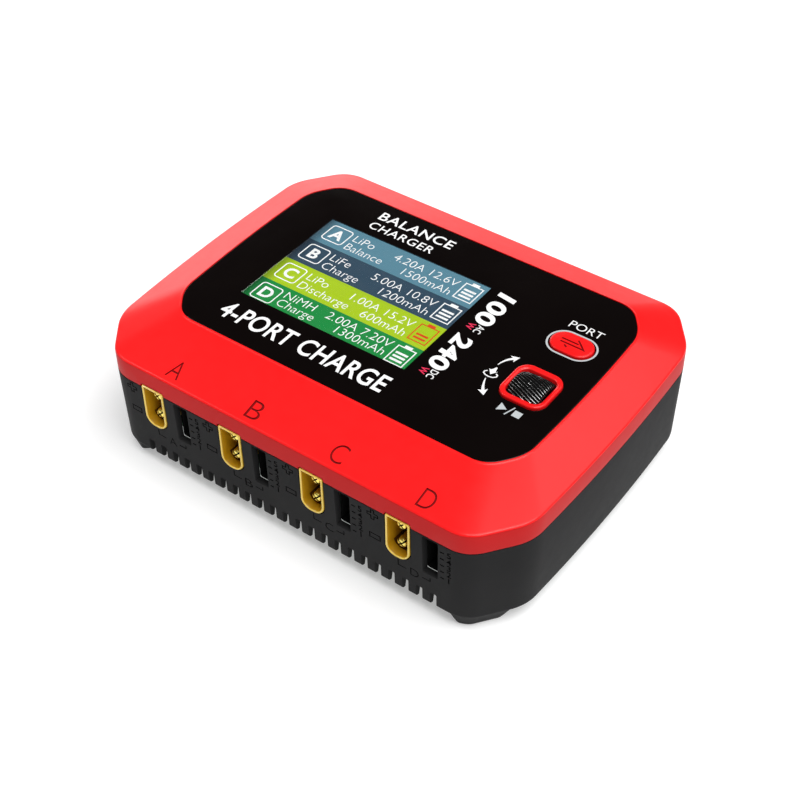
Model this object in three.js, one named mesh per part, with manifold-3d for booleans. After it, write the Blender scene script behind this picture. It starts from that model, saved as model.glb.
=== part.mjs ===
// A four-port balance charger for model batteries. A red top cover and a dark lower case meet at a seam
// with a tongue. The top carries a dark display window, a scroll wheel that turns and clicks, and a push
// button. Four pairs of sockets stand along the front, and the two inlets and the fan are at the back.
//
// Millimetres. X runs along the front from port A to port D, Y from the front to the back, Z is up.
// The origin is under the middle of the case, at the soles of the feet.

import * as THREE from "three";
import { mergeVertices } from "three/addons/utils/BufferGeometryUtils.js";
import Module from "manifold-3d";

const wasm = await Module();
wasm.setup();

// ---- Sizes: case --------------------------------------------------------------------------------
const caseLength = 161.3;
const caseDepth = 122.9;
const caseHeight = 47.6;
const wall = 2.2;
const cornerClipX = 13.65; // the clipped corners, measured along X
const cornerClipY = 16.5; // and along Y
const cornerBlend = 6; // how far the rounding runs along each edge
const blendLoss = 0.4; // share by which the rounding tightens as a face moves inwards
const sideBow = 1.05; // how far each end bulges at its middle
const seamBelowTop = 13.16;
const shoulderBelowTop = 5.55; // where the slopes turn into the upright band
const seamGap = 0.15;
const tongueHeight = 1.6;
const tongueThickness = 1.05;
const tongueClearance = 0.15;
const past = 2; // how far a cutter runs past what it cuts
const lowerDraft = 0.6; // the lower case narrows by this much towards its floor
const lowerEdgeRadius = 1.8;

// ---- Sizes: sloped top, deck and window ---------------------------------------------------------
const frontSlope = 22.7; // run of each slope, from the shoulder to the window
const backSlope = 14.5;
const sideSlope = 14.15;
const windowClipX = 8.45;
const windowClipY = 10.55;
const windowBlend = 5.2;
const windowBow = 0.6;
const windowThickness = 1.2;
const windowClearance = 0.15;
const glueLine = 0.15;
const deckThickness = 2;
const slopeThickness = 2.3; // measured straight down

// ---- Sizes: feet and case screws ----------------------------------------------------------------
const footHeight = 4.6; // from the sole to the underside of the case
const footLength = 19.4; // along the clipped corner, at the case
const footWidth = 13.5; // inwards from the clipped corner, at the case
const footBevel = 2.1; // how far each end narrows
const footLean = 1.8; // how far the outer faces lean in below the wall
const footRadius = 3;
const footShift = 3.2; // from the middle of the clipped corner, away from the end of the case
const padThickness = 1.8;
const padProud = 0.6;
const padMargin = 1.1; // foot rim round the pad
const padClearance = 0.2;
const screwInsetX = 22.1; // from the end of the case to the screw
const screwInsetFront = 21.4;
const screwInsetBack = 18.4;
const screwRadius = 1.1;
const screwBite = 0.05; // clearance between the plain shank and its pilot hole
const shankClearance = 0.5;
const screwHeadRadius = 2.8;
const screwHeadHeight = 2;
const screwHeadClearance = 0.4;
const screwSeatGap = 0.02;
const driveReach = 1.6; // cross recess in the screw's head
const driveWidth = 0.6;
const driveDepth = 1.1;
const screwReach = 7; // length of screw inside the cover's post
const bossRadius = 4.4;
const postRadius = 3.4;
const bossBelowSeam = 3;
const headSeatThickness = 9; // boss material under the screw's head

// ---- Sizes: ports along the front ---------------------------------------------------------------
const portLetters = ["a", "b", "c", "d"];
const portPitch = 31.64;
const portRowCentre = -4.15;
const socketWidth = 8.65;
const socketHeight = 16.2;
const socketBelowTop = 12.3; // from the top of the case to the top of the output sockets
const socketDepth = 13.4;
const socketProud = 0.15;
const socketShell = 1;
const socketCavity = 8.5;
const socketRadius = 3.8; // rounded foot of the face
const socketCorner = 0.5; // square top of the face
const socketClearance = 0.4;
const pinRadius = 1.75;
const pinPitch = 7.8;
const pinRecess = 1.9;
const pinSplit = 0.55;
const pinSplitDepth = 5;
const pinClearance = 0.06;
const balanceOffset = 11.5; // from an output socket to its balance socket
const balanceWidth = 4.9;
const balanceHeight = 15;
const balanceDrop = 1.1; // the balance socket's centre is this much lower
const balanceShell = 0.6;
const balanceLength = 9.8;
const balanceCavity = 7.6;
const balanceRecess = 0.3; // gap between the wall and the header behind it
const balanceCorner = 0.3;
const latchHeight = 2.4; // two windows in the header's side
const latchDepth = 2.5;
const portBoardThickness = 1.6;
const portBoardClearance = 0.3;
const portBoardMargin = 1;
const portLetterHeight = 6.7;
const portLetterWidth = 4.6;
const portLetterStroke = 0.55;
const portLetterDepth = 0.35;
const portLetterOffset = 7.05; // from an output socket to the letter above it
const portLetterShare = 0.235; // how far up the front slope the letters stand

// ---- Sizes: vents under the front edge ----------------------------------------------------------
const ventCount = 23;
const ventPitch = 5.07;
const ventWidth = 2.4;
const ventHeight = 6;
const ventRun = 8; // length of each slot under the floor

// ---- Sizes: screen ------------------------------------------------------------------------------
const screenLeft = -49.5; // picture area, from the middle of the window
const screenRight = 15.4;
const screenBack = 25.2;
const screenFront = -23.1;
const lcdMarginLeft = 4.5;
const lcdMarginRight = 8.3;
const lcdMarginEdge = 3.4;
const lcdThickness = 4;
const lcdRim = 1.2;
const lcdGlassThickness = 1.6;
const lcdClearance = 0.3;
const lcdCellClearance = 0.2;
const stakeRadius = 1.6; // posts that carry the control board
const stakeOffset = 2; // from the screen module's edge
const stakeRight = 11; // from the wheel to the stake on its right
const stakeLeft = 8; // and to the stake on its left

// ---- Sizes: button ------------------------------------------------------------------------------
const buttonX = 51.4; // from the middle of the window
const buttonY = 16;
const buttonLength = 14.7;
const buttonWidth = 9.4;
const buttonRise = 1.1;
const buttonEdgeRise = 0.4;
const buttonCrown = 1.6; // width of the domed edge
const buttonClearance = 0.3;
const buttonLip = 1;
const buttonLipThickness = 0.8;
const buttonTravel = 0.6;

// ---- Sizes: scroll wheel ------------------------------------------------------------------------
const wheelX = 51.4; // from the middle of the window
const wheelY = -7.7;
const wheelRadius = 8.2;
const wheelWidth = 11.8;
const wheelRise = 2.6;
const wheelRidges = 48;
const wheelRidgeDepth = 0.35;
const wheelTravel = 0.4;
const wheelSideGap = 0.4;
const wheelClearance = 0.5;
const bezelLength = 16.2;
const bezelWidth = 16.9;
const bezelRadius = 4.5;
const bezelRise = 1;
const bezelWall = 1.8;
const wellShoulder = 0.35; // ledge inside the bezel at the front and back of the well
const wellRadius = 1.2;
const axleRadius = 1;
const axleClearance = 0.09;
const axleSeatClearance = 0.04;
const cheekThickness = 1.7;
const carriageFloor = 1.2;
const carriageWidth = 10;
const carriageDeckGap = 0.25;
const encoderThickness = 3.4;
const encoderHeight = 9;
const bracketWall = 1.5;
const bracketGap = 0.35;
const bracketFlange = 2.8;
const bracketMargin = 1; // bracket beyond the carriage at the front and back
const switchStopGap = 0.3; // left between carriage and switch when the wheel is pressed

// ---- Sizes: switches, boards and what stands on them --------------------------------------------
const boardThickness = 1.6;
const boardRadius = 6;
const boardSideGap = 5; // from the main board to the wall
const boardBackGap = 3; // from the main board to the fan
const boardScrewGap = 0.5;
const portBoardLap = 2; // how far the main board runs under the port board
const controlBoardBelowTop = 7;
const controlBoardLeft = 3; // control board beyond the screen module
const controlBoardMargin = 5;
const controlBoardRight = 14.6; // from the wheel to the control board's edge
const wheelGapMargin = 0.6; // control board's gap beyond the wheel's own clearance
const switchSize = 6;
const switchHeight = 1.6;
const plungerRadius = 1.5;
const plungerClearance = 0.15;
const plungerDip = 0.5; // how deep the plunger starts inside its switch
const standoffHeight = 3;
const standoffRadius = 2.5;
const standoffInset = 13; // from the end of the case
const standoffY = 30;
const touch = 0.1; // gap between pieces that rest on each other
const chokeSize = 12;
const chokeHeight = 8;
const chokeCorner = 2;
const chokeDimple = 2.2; // radius of the round recess in the top
const chokeDimpleDepth = 1.2;
const chokeOffset = 3; // from an output socket to the choke behind it
const chokeGap = 1; // from the screw bosses to the chokes
const transformerSize = 22;
const transformerHeight = 19;
const transformerCore = 0.55; // core's depth as a share of the length
const transformerWinding = 0.72; // winding's length as a share of the depth
const transformerFlange = 2;
const transformerShift = 2; // from the mains inlet's middle
const transformerGap = 20; // from the mains inlet to the transformer's middle
const capacitorRadius = 8;
const capacitorHeight = 24;
const capacitorEdge = 0.6; // bevel at each end
const capacitorGroove = 0.5; // depth of the crimp near the base
const capacitorGrooveZ = 2.8;
const capacitorSideGap = 6; // from the wall
const capacitorY = 12;
const heatSinkLength = 36;
const heatSinkDepth = 30;
const heatSinkHeight = 17;
const heatSinkBase = 3;
const heatSinkFins = 9;
const finThickness = 1.4;
const heatSinkGap = 8; // from the fan

// ---- Sizes: fan and inlets at the back ----------------------------------------------------------
const fanX = -30;
const fanSize = 25;
const fanFloorGap = 0.5;
const fanThickness = 10;
const fanCorner = 2;
const fanHoleInset = 2.4;
const fanHoleRadius = 1.3;
const fanDuctWall = 0.9;
const fanHubRadius = 5;
const fanBlades = 7;
const fanBladeTilt = 38; // degrees
const fanTipClearance = 0.5;
const fanBladeThickness = 0.8;
const fanBladeChord = 8;
const fanBladeRoot = 1.5; // how deep each blade starts inside the hub
const fanFrontGap = 0.6; // from the frame's outer face to the rotor
const fanBackGap = 0.5; // from the struts to the rotor
const fanMountMargin = 0.4; // hub seat beyond the hub
const fanStrut = 1.4;
const grilleBars = 6;
const grilleSlot = 2.2;
const dcInletX = 10;
const inletAboveFloor = 15;
const acInletX = 38;
const acLength = 22.6;
const acHeight = 12.6;
const acRadius = 2;
const acDepth = 17;
const acCavityLength = 16.2;
const acCavityHeight = 8.4;
const acCavityDepth = 12;
const acPinRadius = 1.2;
const acPinPitch = 8.6;
const acPinRecess = 1.5;

// ---- Levels and places that follow from the sizes -----------------------------------------------
const seamZ = caseHeight - seamBelowTop;
const shoulderZ = caseHeight - shoulderBelowTop;
const deckTopZ = caseHeight - windowThickness - glueLine;
const deckUnderZ = deckTopZ - deckThickness;
const floorTopZ = footHeight + wall;
const mainBoardZ = floorTopZ + standoffHeight + touch;
const boardTopZ = mainBoardZ + boardThickness;
const controlBoardTopZ = caseHeight - controlBoardBelowTop;
const controlBoardUnderZ = controlBoardTopZ - boardThickness;
const frontY = -caseDepth / 2;
const backY = caseDepth / 2;
const windowY = (frontY + frontSlope + backY - backSlope) / 2;
const socketZ = caseHeight - socketBelowTop - socketHeight / 2;
const balanceZ = socketZ - balanceDrop;
const portBoardY = frontY + socketDepth + portBoardClearance;
const headSeatZ = seamZ - bossBelowSeam - headSeatThickness;
const lowerBackY = backY - lowerDraft - wall;
const inletZ = footHeight + inletAboveFloor;
const fanZ = floorTopZ + fanFloorGap + fanSize / 2;
const wheelZ = caseHeight + wheelRise - wheelRadius;
const screwSpots = [];
for (const side of [-1, 1]) {
  screwSpots.push([side * (caseLength / 2 - screwInsetX), frontY + screwInsetFront]);
  screwSpots.push([side * (caseLength / 2 - screwInsetX), backY - screwInsetBack]);
}

const shoulderOutline = {
  halfLength: caseLength / 2,
  front: frontY,
  back: backY,
  clipX: cornerClipX,
  clipY: cornerClipY,
  blend: cornerBlend,
  bow: sideBow,
};
const windowOutline = {
  halfLength: caseLength / 2 - sideSlope,
  front: frontY + frontSlope,
  back: backY - backSlope,
  clipX: windowClipX,
  clipY: windowClipY,
  blend: windowBlend,
  bow: windowBow,
};

// ---- Solids -------------------------------------------------------------------------------------
function solidOf(geometry) {
  geometry.deleteAttribute("normal");
  geometry.deleteAttribute("uv");
  const merged = mergeVertices(geometry, 1e-4);
  return new wasm.Manifold(new wasm.Mesh({
    numProp: 3,
    vertProperties: merged.attributes.position.array,
    triVerts: new Uint32Array(merged.index.array),
  }));
}

function geometryOf(solid) {
  const mesh = solid.getMesh();
  const geometry = new THREE.BufferGeometry();
  geometry.setAttribute("position", new THREE.BufferAttribute(mesh.vertProperties, 3));
  geometry.setIndex(new THREE.BufferAttribute(mesh.triVerts, 1));
  geometry.computeVertexNormals();
  return geometry;
}

function block(x0, x1, y0, y1, z0, z1) {
  const box = new THREE.BoxGeometry(x1 - x0, y1 - y0, z1 - z0);
  return solidOf(box.translate((x0 + x1) / 2, (y0 + y1) / 2, (z0 + z1) / 2));
}

function slab(points, thickness) {
  return new THREE.ExtrudeGeometry(new THREE.Shape(points), { depth: thickness, bevelEnabled: false });
}

// An outline in X and Y, raised from z0 to z1.
function upright(points, z0, z1) {
  return solidOf(slab(points, z1 - z0).translate(0, 0, z0));
}

// An outline in X and Z, running from y0 to y1.
function through(points, y0, y1) {
  return solidOf(slab(points, y1 - y0).rotateX(Math.PI / 2).translate(0, y1, 0));
}

// An outline in Y and Z, running from x0 to x1.
function across(points, x0, x1) {
  const turn = new THREE.Matrix4();
  turn.makeBasis(new THREE.Vector3(0, 1, 0), new THREE.Vector3(0, 0, 1), new THREE.Vector3(1, 0, 0));
  return solidOf(slab(points, x1 - x0).applyMatrix4(turn).translate(x0, 0, 0));
}

// A skin through outlines of equal point count at rising heights, closed at both ends.
function loft(levels) {
  const count = levels[0].points.length;
  const last = (levels.length - 1) * count;
  const positions = [];
  const index = [];
  for (const level of levels) {
    for (const point of level.points) {
      positions.push(point.x, point.y, level.z);
    }
  }
  for (let row = 0; row < last; row += count) {
    for (let i = 0; i < count; i++) {
      const a = row + i;
      const b = row + ((i + 1) % count);
      index.push(a, b, b + count, a, b + count, a + count);
    }
  }
  for (const [a, b, c] of THREE.ShapeUtils.triangulateShape(levels[0].points, [])) {
    index.push(c, b, a);
  }
  for (const [a, b, c] of THREE.ShapeUtils.triangulateShape(levels.at(-1).points, [])) {
    index.push(last + a, last + b, last + c);
  }
  const geometry = new THREE.BufferGeometry();
  geometry.setAttribute("position", new THREE.Float32BufferAttribute(positions, 3));
  geometry.setIndex(index);
  return solidOf(geometry);
}

function joined(solids) {
  return solids.reduce((whole, next) => whole.add(next));
}

function cut(solid, tools) {
  return tools.reduce((whole, tool) => whole.subtract(tool), solid);
}

// ---- Outlines, all counter-clockwise ------------------------------------------------------------
function circle(x, y, radius, steps = 20) {
  const points = [];
  for (let i = 0; i < steps; i++) {
    const angle = (2 * Math.PI * i) / steps;
    points.push(new THREE.Vector2(x + radius * Math.cos(angle), y + radius * Math.sin(angle)));
  }
  return points;
}

// A rectangle whose corners have the radii [right back, left back, left front, right front].
function rounded(x, y, width, height, radii, steps = 4) {
  const signs = [[1, 1], [-1, 1], [-1, -1], [1, -1]];
  const points = [];
  signs.forEach(([sx, sy], corner) => {
    const radius = Math.max(Array.isArray(radii) ? radii[corner] : radii, 0.02);
    const cx = x + sx * (width / 2 - radius);
    const cy = y + sy * (height / 2 - radius);
    for (let i = 0; i <= steps; i++) {
      const angle = (Math.PI / 2) * (corner + i / steps);
      points.push(new THREE.Vector2(cx + radius * Math.cos(angle), cy + radius * Math.sin(angle)));
    }
  });
  return points;
}

// The case's plan: straight front and back, clipped and rounded corners, bowed ends.
function planOf({ halfLength, front, back, clipX, clipY, blend, bow }, steps = 4) {
  const end = halfLength - bow;
  const corners = [
    [halfLength - clipX, front], [end, front + clipY], [end, back - clipY], [halfLength - clipX, back],
    [clipX - halfLength, back], [-end, back - clipY], [-end, front + clipY], [clipX - halfLength, front],
  ].map(([x, y]) => new THREE.Vector2(x, y));
  const path = new THREE.Path();
  corners.forEach((corner, i) => {
    const before = corners.at(i - 1).clone().sub(corner).normalize();
    const after = corners[(i + 1) % 8].clone().sub(corner).normalize();
    const enter = corner.clone().addScaledVector(before, blend);
    const leave = corner.clone().addScaledVector(after, blend);
    if (i === 0) {
      path.moveTo(enter.x, enter.y);
    } else if (i === 2 || i === 6) {
      path.quadraticCurveTo(Math.sign(enter.x) * (halfLength + bow), (front + back) / 2, enter.x, enter.y);
    } else {
      path.lineTo(enter.x, enter.y);
    }
    path.quadraticCurveTo(corner.x, corner.y, leave.x, leave.y);
  });
  return path.getPoints(steps);
}

// The same plan with every face moved inwards.
function inset(plan, by) {
  const clip = Math.hypot(plan.clipX, plan.clipY);
  return {
    ...plan,
    halfLength: plan.halfLength - by,
    front: plan.front + by,
    back: plan.back - by,
    clipX: plan.clipX - by * (1 + (plan.clipX - clip) / plan.clipY),
    clipY: plan.clipY - by * (1 + (plan.clipY - clip) / plan.clipX),
    blend: plan.blend - by * blendLoss,
  };
}

// A plan part of the way from one plan to another.
function between(low, high, share) {
  const plan = {};
  for (const key of Object.keys(low)) {
    plan[key] = low[key] + (high[key] - low[key]) * share;
  }
  return plan;
}

// A line of constant width along a row of points.
function ribbon(line, width) {
  const left = [];
  const right = [];
  line.forEach(([x, y], i) => {
    const [bx, by] = line[Math.max(i - 1, 0)];
    const [ax, ay] = line[Math.min(i + 1, line.length - 1)];
    const normal = new THREE.Vector2(by - ay, ax - bx).normalize().multiplyScalar(width / 2);
    left.push(new THREE.Vector2(x + normal.x, y + normal.y));
    right.unshift(new THREE.Vector2(x - normal.x, y - normal.y));
  });
  return right.reverse().concat(left.reverse());
}

function arc(cx, cy, rx, ry, from, to, steps = 7) {
  const line = [];
  for (let i = 0; i <= steps; i++) {
    const angle = THREE.MathUtils.degToRad(from + ((to - from) * i) / steps);
    line.push([cx + rx * Math.cos(angle), cy + ry * Math.sin(angle)]);
  }
  return line;
}

// ---- Materials ----------------------------------------------------------------------------------
function finish(color, roughness, metalness = 0) {
  return new THREE.MeshStandardMaterial({ color, roughness, metalness });
}
const redPlastic = () => finish(0xe8141c, 0.3);
const blackPlastic = () => finish(0x2b2b2c, 0.6);
const windowPlastic = () => finish(0x0b0a0a, 0.08);
const goldPlastic = () => finish(0xd9a019, 0.4);
const goldPlate = () => finish(0xe2b640, 0.2, 1);
const steel = () => finish(0xb9bcc0, 0.3, 1);
const aluminium = () => finish(0xa9adb2, 0.35, 1);
const boardGreen = () => finish(0x1c5a35, 0.5);
const rubberBlack = () => finish(0x161616, 0.9);
const ferrite = () => finish(0x3c3d40, 0.7);
const tapeYellow = () => finish(0xd8b62c, 0.5);
const sleeveBlue = () => finish(0x22304d, 0.4);
const displayGlass = () => finish(0x6f93a4, 0.1);

const charger = new THREE.Group();

function add(name, solid, material, parent = charger) {
  const mesh = new THREE.Mesh(geometryOf(solid), material);
  mesh.name = name;
  parent.add(mesh);
  return mesh;
}

// ---- Shapes shared by the shells and by what passes through them --------------------------------
// The output socket's face: square corners at the top, a rounded foot. Centred on its own middle.
function socketFace(grow) {
  const sharp = socketCorner + grow;
  const soft = socketRadius + grow;
  return rounded(0, 0, socketWidth + 2 * grow, socketHeight + 2 * grow, [sharp, sharp, soft, soft]);
}

function balanceFace(grow) {
  return rounded(0, 0, balanceWidth + 2 * grow, balanceHeight + 2 * grow, balanceCorner, 1);
}

function buttonFace(grow) {
  const width = buttonWidth + 2 * grow;
  return rounded(buttonX, windowY + buttonY, buttonLength + 2 * grow, width, width / 2 - 0.01, 6);
}

function bezelFace(grow) {
  const [length, width] = [bezelLength + 2 * grow, bezelWidth + 2 * grow];
  return rounded(wheelX, windowY + wheelY, length, width, bezelRadius + grow);
}

function lcdEdges(grow) {
  return {
    left: screenLeft - lcdMarginLeft - grow,
    right: screenRight + lcdMarginRight + grow,
    front: windowY + screenFront - lcdMarginEdge - grow,
    back: windowY + screenBack + lcdMarginEdge + grow,
  };
}

const portX = portLetters.map((letter, i) => portRowCentre + (i - 1.5) * portPitch);
const portOpenings = portX.map((x) => {
  const opening = through(socketFace(socketClearance), frontY - past, portBoardY - portBoardClearance);
  return opening.translate([x, 0, socketZ]);
});

// ---- Top cover ----------------------------------------------------------------------------------
function portLetter(letter) {
  const w = portLetterWidth;
  const h = portLetterHeight;
  const stem = [[0, 0], [0, h]];
  const lines = {
    a: [[[0, 0], [w / 2, h]], [[w / 2, h], [w, 0]], [[w * 0.17, h / 3], [w * 0.83, h / 3]]],
    b: [
      stem,
      [[0, h], ...arc(w * 0.5, h * 0.76, w * 0.34, h * 0.24, 90, -90), [0, h * 0.52]],
      [[0, h * 0.52], ...arc(w * 0.55, h * 0.26, w * 0.38, h * 0.26, 90, -90), [0, 0]],
    ],
    c: [arc(w * 0.55, h / 2, w * 0.52, h / 2, 52, 308, 12)],
    d: [stem, [[0, h], ...arc(w * 0.4, h / 2, w * 0.58, h / 2, 90, -90, 9), [0, 0]]],
  }[letter];
  return joined(lines.map((line) => upright(ribbon(line, portLetterStroke), -portLetterDepth, 1)))
    .translate([-w / 2, -h / 2, 0]);
}

function topCover() {
  const innerPlan = inset(shoulderOutline, wall);
  const innerRise = (deckUnderZ - shoulderZ + slopeThickness) / shoulderBelowTop;
  const body = loft([
    { points: planOf(shoulderOutline), z: seamZ },
    { points: planOf(shoulderOutline), z: shoulderZ },
    { points: planOf(inset(windowOutline, -2 * windowClearance)), z: caseHeight },
  ]);
  const hollow = loft([
    { points: planOf(innerPlan), z: seamZ - past },
    { points: planOf(innerPlan), z: shoulderZ - slopeThickness },
    { points: planOf(between(innerPlan, windowOutline, innerRise)), z: deckUnderZ },
  ]);
  const rebate = wall - tongueThickness - tongueClearance;
  const rebateTopZ = seamZ + tongueHeight + tongueClearance;
  const tongueRoom = upright(planOf(inset(shoulderOutline, rebate)), seamZ - past, rebateTopZ);
  const pocket = upright(planOf(inset(windowOutline, -windowClearance)), deckTopZ, caseHeight + past);
  const posts = screwSpots.map(([x, y]) => {
    const postUnderZ = seamZ - bossBelowSeam + touch;
    const post = upright(circle(x, y, postRadius), postUnderZ, caseHeight - slopeThickness);
    return post.intersect(body.add(post.subtract(upright(planOf(innerPlan), seamZ, caseHeight))));
  });
  const lcd = lcdEdges(lcdClearance);
  const stakes = [
    [lcd.left + stakeOffset, lcd.front - stakeOffset],
    [wheelX + stakeRight, lcd.front - stakeOffset],
    [wheelX - stakeLeft, lcd.back + stakeOffset],
  ];
  const stakePosts = stakes.map(([x, y]) => {
    return upright(circle(x, y, stakeRadius, 12), controlBoardTopZ + touch, deckTopZ);
  });
  const cy = windowY + wheelY;
  const wheelRoom = circle(cy, wheelZ, wheelRadius + wheelClearance, 28);
  const wellLength = wheelWidth + 2 * wheelSideGap;
  const wellWidth = bezelWidth - 2 * (bezelWall + wellShoulder);
  const well = rounded(wheelX, cy, wellLength, wellWidth, wellRadius);
  const slopeTilt = Math.atan2(shoulderBelowTop, frontSlope) * (180 / Math.PI);
  const letters = portLetters.map((letter, i) => {
    const tilted = portLetter(letter).rotate([slopeTilt, 0, 0]);
    const up = portLetterShare;
    const y = frontY + frontSlope * up;
    return tilted.translate([portX[i] + portLetterOffset, y, shoulderZ + shoulderBelowTop * up]);
  });
  const shell = joined([
    cut(body, [hollow, tongueRoom, pocket]),
    upright(bezelFace(0), deckUnderZ, caseHeight + bezelRise),
    ...posts,
    ...stakePosts,
  ]);
  return cut(shell, [
    block(lcd.left, lcd.right, lcd.front, lcd.back, deckUnderZ - past, caseHeight),
    upright(buttonFace(buttonClearance), deckUnderZ - past, caseHeight + past),
    upright(well, deckUnderZ - past, caseHeight + bezelRise + past),
    across(wheelRoom, wheelX - wellLength / 2, wheelX + wellLength / 2),
    ...screwSpots.map(([x, y]) => {
      const postUnderZ = seamZ - bossBelowSeam;
      const pilot = circle(x, y, screwRadius + screwBite, 12);
      return upright(pilot, postUnderZ - past, postUnderZ + screwReach + 1);
    }),
    ...portOpenings,
    ...letters,
  ]);
}
add("top_cover", topCover(), redPlastic());

// ---- Display window -----------------------------------------------------------------------------
function displayWindow() {
  return cut(upright(planOf(windowOutline), caseHeight - windowThickness, caseHeight), [
    upright(buttonFace(buttonClearance), deckTopZ, caseHeight + past),
    upright(bezelFace(windowClearance), deckTopZ, caseHeight + past),
  ]);
}
add("display_window", displayWindow(), windowPlastic());

// ---- Feet ---------------------------------------------------------------------------------------
// One foot stands along each clipped corner. Its frame has X along the clip and Y outwards, with the
// origin on the face of the clip.
const clipStart = new THREE.Vector2(caseLength / 2 - sideBow, backY - cornerClipY);
const clipEnd = new THREE.Vector2(caseLength / 2 - cornerClipX, backY);
const clipRun = clipEnd.clone().sub(clipStart).normalize();
const clipTurn = Math.atan2(clipRun.y, -clipRun.x);
const footOrigin = clipStart.clone().add(clipEnd).divideScalar(2).addScaledVector(clipRun, footShift);
const soleLength = footLength - 2 * footBevel;
const soleOuter = lowerDraft + footLean;
const soleWidth = footWidth - footBevel - soleOuter;
const soleMiddle = -soleOuter - soleWidth / 2;
const footPlaces = [
  { name: "front_left", sx: -1, sy: -1 },
  { name: "front_right", sx: 1, sy: -1 },
  { name: "back_left", sx: -1, sy: 1 },
  { name: "back_right", sx: 1, sy: 1 },
].map((place) => ({
  ...place,
  x: place.sx * footOrigin.x,
  y: place.sy * footOrigin.y,
  turn: -place.sx * place.sy * clipTurn,
}));

function foot(side) {
  const width = soleOuter + soleWidth;
  return loft([
    { points: rounded(0, (-side * width) / 2, soleLength, width, footRadius), z: padProud },
    {
      points: rounded(0, (-side * footWidth) / 2, footLength, footWidth, footRadius),
      z: footHeight + wall / 2,
    },
  ]);
}

// The outer faces of all the feet carry on from the wall of the case and lean in towards the soles.
function footFaces() {
  return loft([
    { points: planOf(inset(shoulderOutline, lowerDraft + footLean)), z: padProud },
    { points: planOf(inset(shoulderOutline, lowerDraft)), z: footHeight + lowerEdgeRadius },
  ]);
}

function padPlan(margin) {
  const length = soleLength - 2 * margin;
  return (side) => rounded(0, side * soleMiddle, length, soleWidth - 2 * margin, footRadius - margin);
}

function padHole(side) {
  return upright(padPlan(padMargin)(side), padProud - past, padThickness + touch);
}

function footPad(side) {
  return upright(padPlan(padMargin + padClearance)(side), 0, padThickness);
}

function atCorner(shape, { sy, x, y, turn }) {
  return shape(sy).rotate([0, 0, THREE.MathUtils.radToDeg(turn)]).translate([x, y, 0]);
}

for (const place of footPlaces) {
  const pad = add(`foot_pad_${place.name}`, footPad(place.sy), rubberBlack());
  pad.position.set(place.x, place.y, 0);
  pad.rotation.z = place.turn;
}

// ---- Lower case ---------------------------------------------------------------------------------
function grilleSlots() {
  const reach = fanSize / 2 - fanDuctWall;
  const slots = [];
  for (let i = 0; i < grilleBars; i++) {
    const drop = (i - (grilleBars - 1) / 2) * ((2 * reach) / grilleBars);
    const half = Math.sqrt(reach ** 2 - (Math.abs(drop) + grilleSlot / 2) ** 2);
    const hole = rounded(fanX, fanZ + drop, 2 * half, grilleSlot, grilleSlot / 2 - 0.01, 3);
    slots.push(through(hole, lowerBackY - past, backY + past));
  }
  return slots;
}

function lowerCase() {
  const levels = [];
  for (let step = 0; step <= 3; step++) {
    const angle = (Math.PI / 2) * (step / 3);
    const shrink = lowerDraft + lowerEdgeRadius * (1 - Math.sin(angle));
    const z = footHeight + lowerEdgeRadius * (1 - Math.cos(angle));
    levels.push({ points: planOf(inset(shoulderOutline, shrink)), z });
  }
  levels.push({ points: planOf(shoulderOutline), z: seamZ - seamGap });
  const hollow = loft([
    { points: planOf(inset(shoulderOutline, wall + lowerDraft)), z: floorTopZ },
    { points: planOf(inset(shoulderOutline, wall)), z: seamZ + tongueHeight + past },
  ]);
  const tonguePlan = planOf(inset(shoulderOutline, wall - tongueThickness));
  const tongue = upright(tonguePlan, seamZ - past, seamZ + tongueHeight);
  const bosses = screwSpots.map(([x, y]) => {
    return upright(circle(x, y, bossRadius), footHeight + wall / 2, seamZ - bossBelowSeam);
  });
  const standoffX = caseLength / 2 - standoffInset;
  const standoffs = [-1, 1].flatMap((sx) => [-1, 1].map((sy) => {
    const plan = circle(sx * standoffX, sy * standoffY, standoffRadius, 12);
    return upright(plan, floorTopZ - wall / 2, floorTopZ + standoffHeight);
  }));
  const shell = joined([
    cut(loft(levels).add(tongue), [hollow]),
    ...bosses,
    ...standoffs,
    joined(footPlaces.map((place) => atCorner(foot, place))).intersect(footFaces()),
  ]);
  const ventSlots = [];
  for (let i = 0; i < ventCount; i++) {
    const x = (i - (ventCount - 1) / 2) * ventPitch;
    const inner = frontY + ventRun;
    const topZ = footHeight + ventHeight;
    ventSlots.push(block(x - ventWidth / 2, x + ventWidth / 2, frontY - past, inner, 0, topZ));
  }
  return cut(shell, [
    ...portOpenings,
    ...portX.map((x) => {
      const slot = through(balanceFace(0), frontY - past, frontY + wall + past);
      return slot.translate([x + balanceOffset, 0, balanceZ]);
    }),
    ...ventSlots,
    ...grilleSlots(),
    through(socketFaceTurned(socketClearance), lowerBackY - past, backY + past)
      .translate([dcInletX, 0, inletZ]),
    through(acFace(socketClearance), lowerBackY - past, backY + past),
    ...screwSpots.map(([x, y]) => upright(circle(x, y, screwHeadRadius + screwHeadClearance), 0, headSeatZ)),
    ...screwSpots.map(([x, y]) => {
      return upright(circle(x, y, screwRadius + shankClearance, 12), headSeatZ - past, seamZ);
    }),
    ...footPlaces.map((place) => atCorner(padHole, place)),
  ]);
}

// The output socket's face lying on its side, for the direct current inlet.
function socketFaceTurned(grow) {
  return socketFace(grow).map((point) => new THREE.Vector2(-point.y, point.x));
}

function acFace(grow) {
  return rounded(acInletX, inletZ, acLength + 2 * grow, acHeight + 2 * grow, acRadius + grow);
}
add("lower_case", lowerCase(), blackPlastic());

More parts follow.
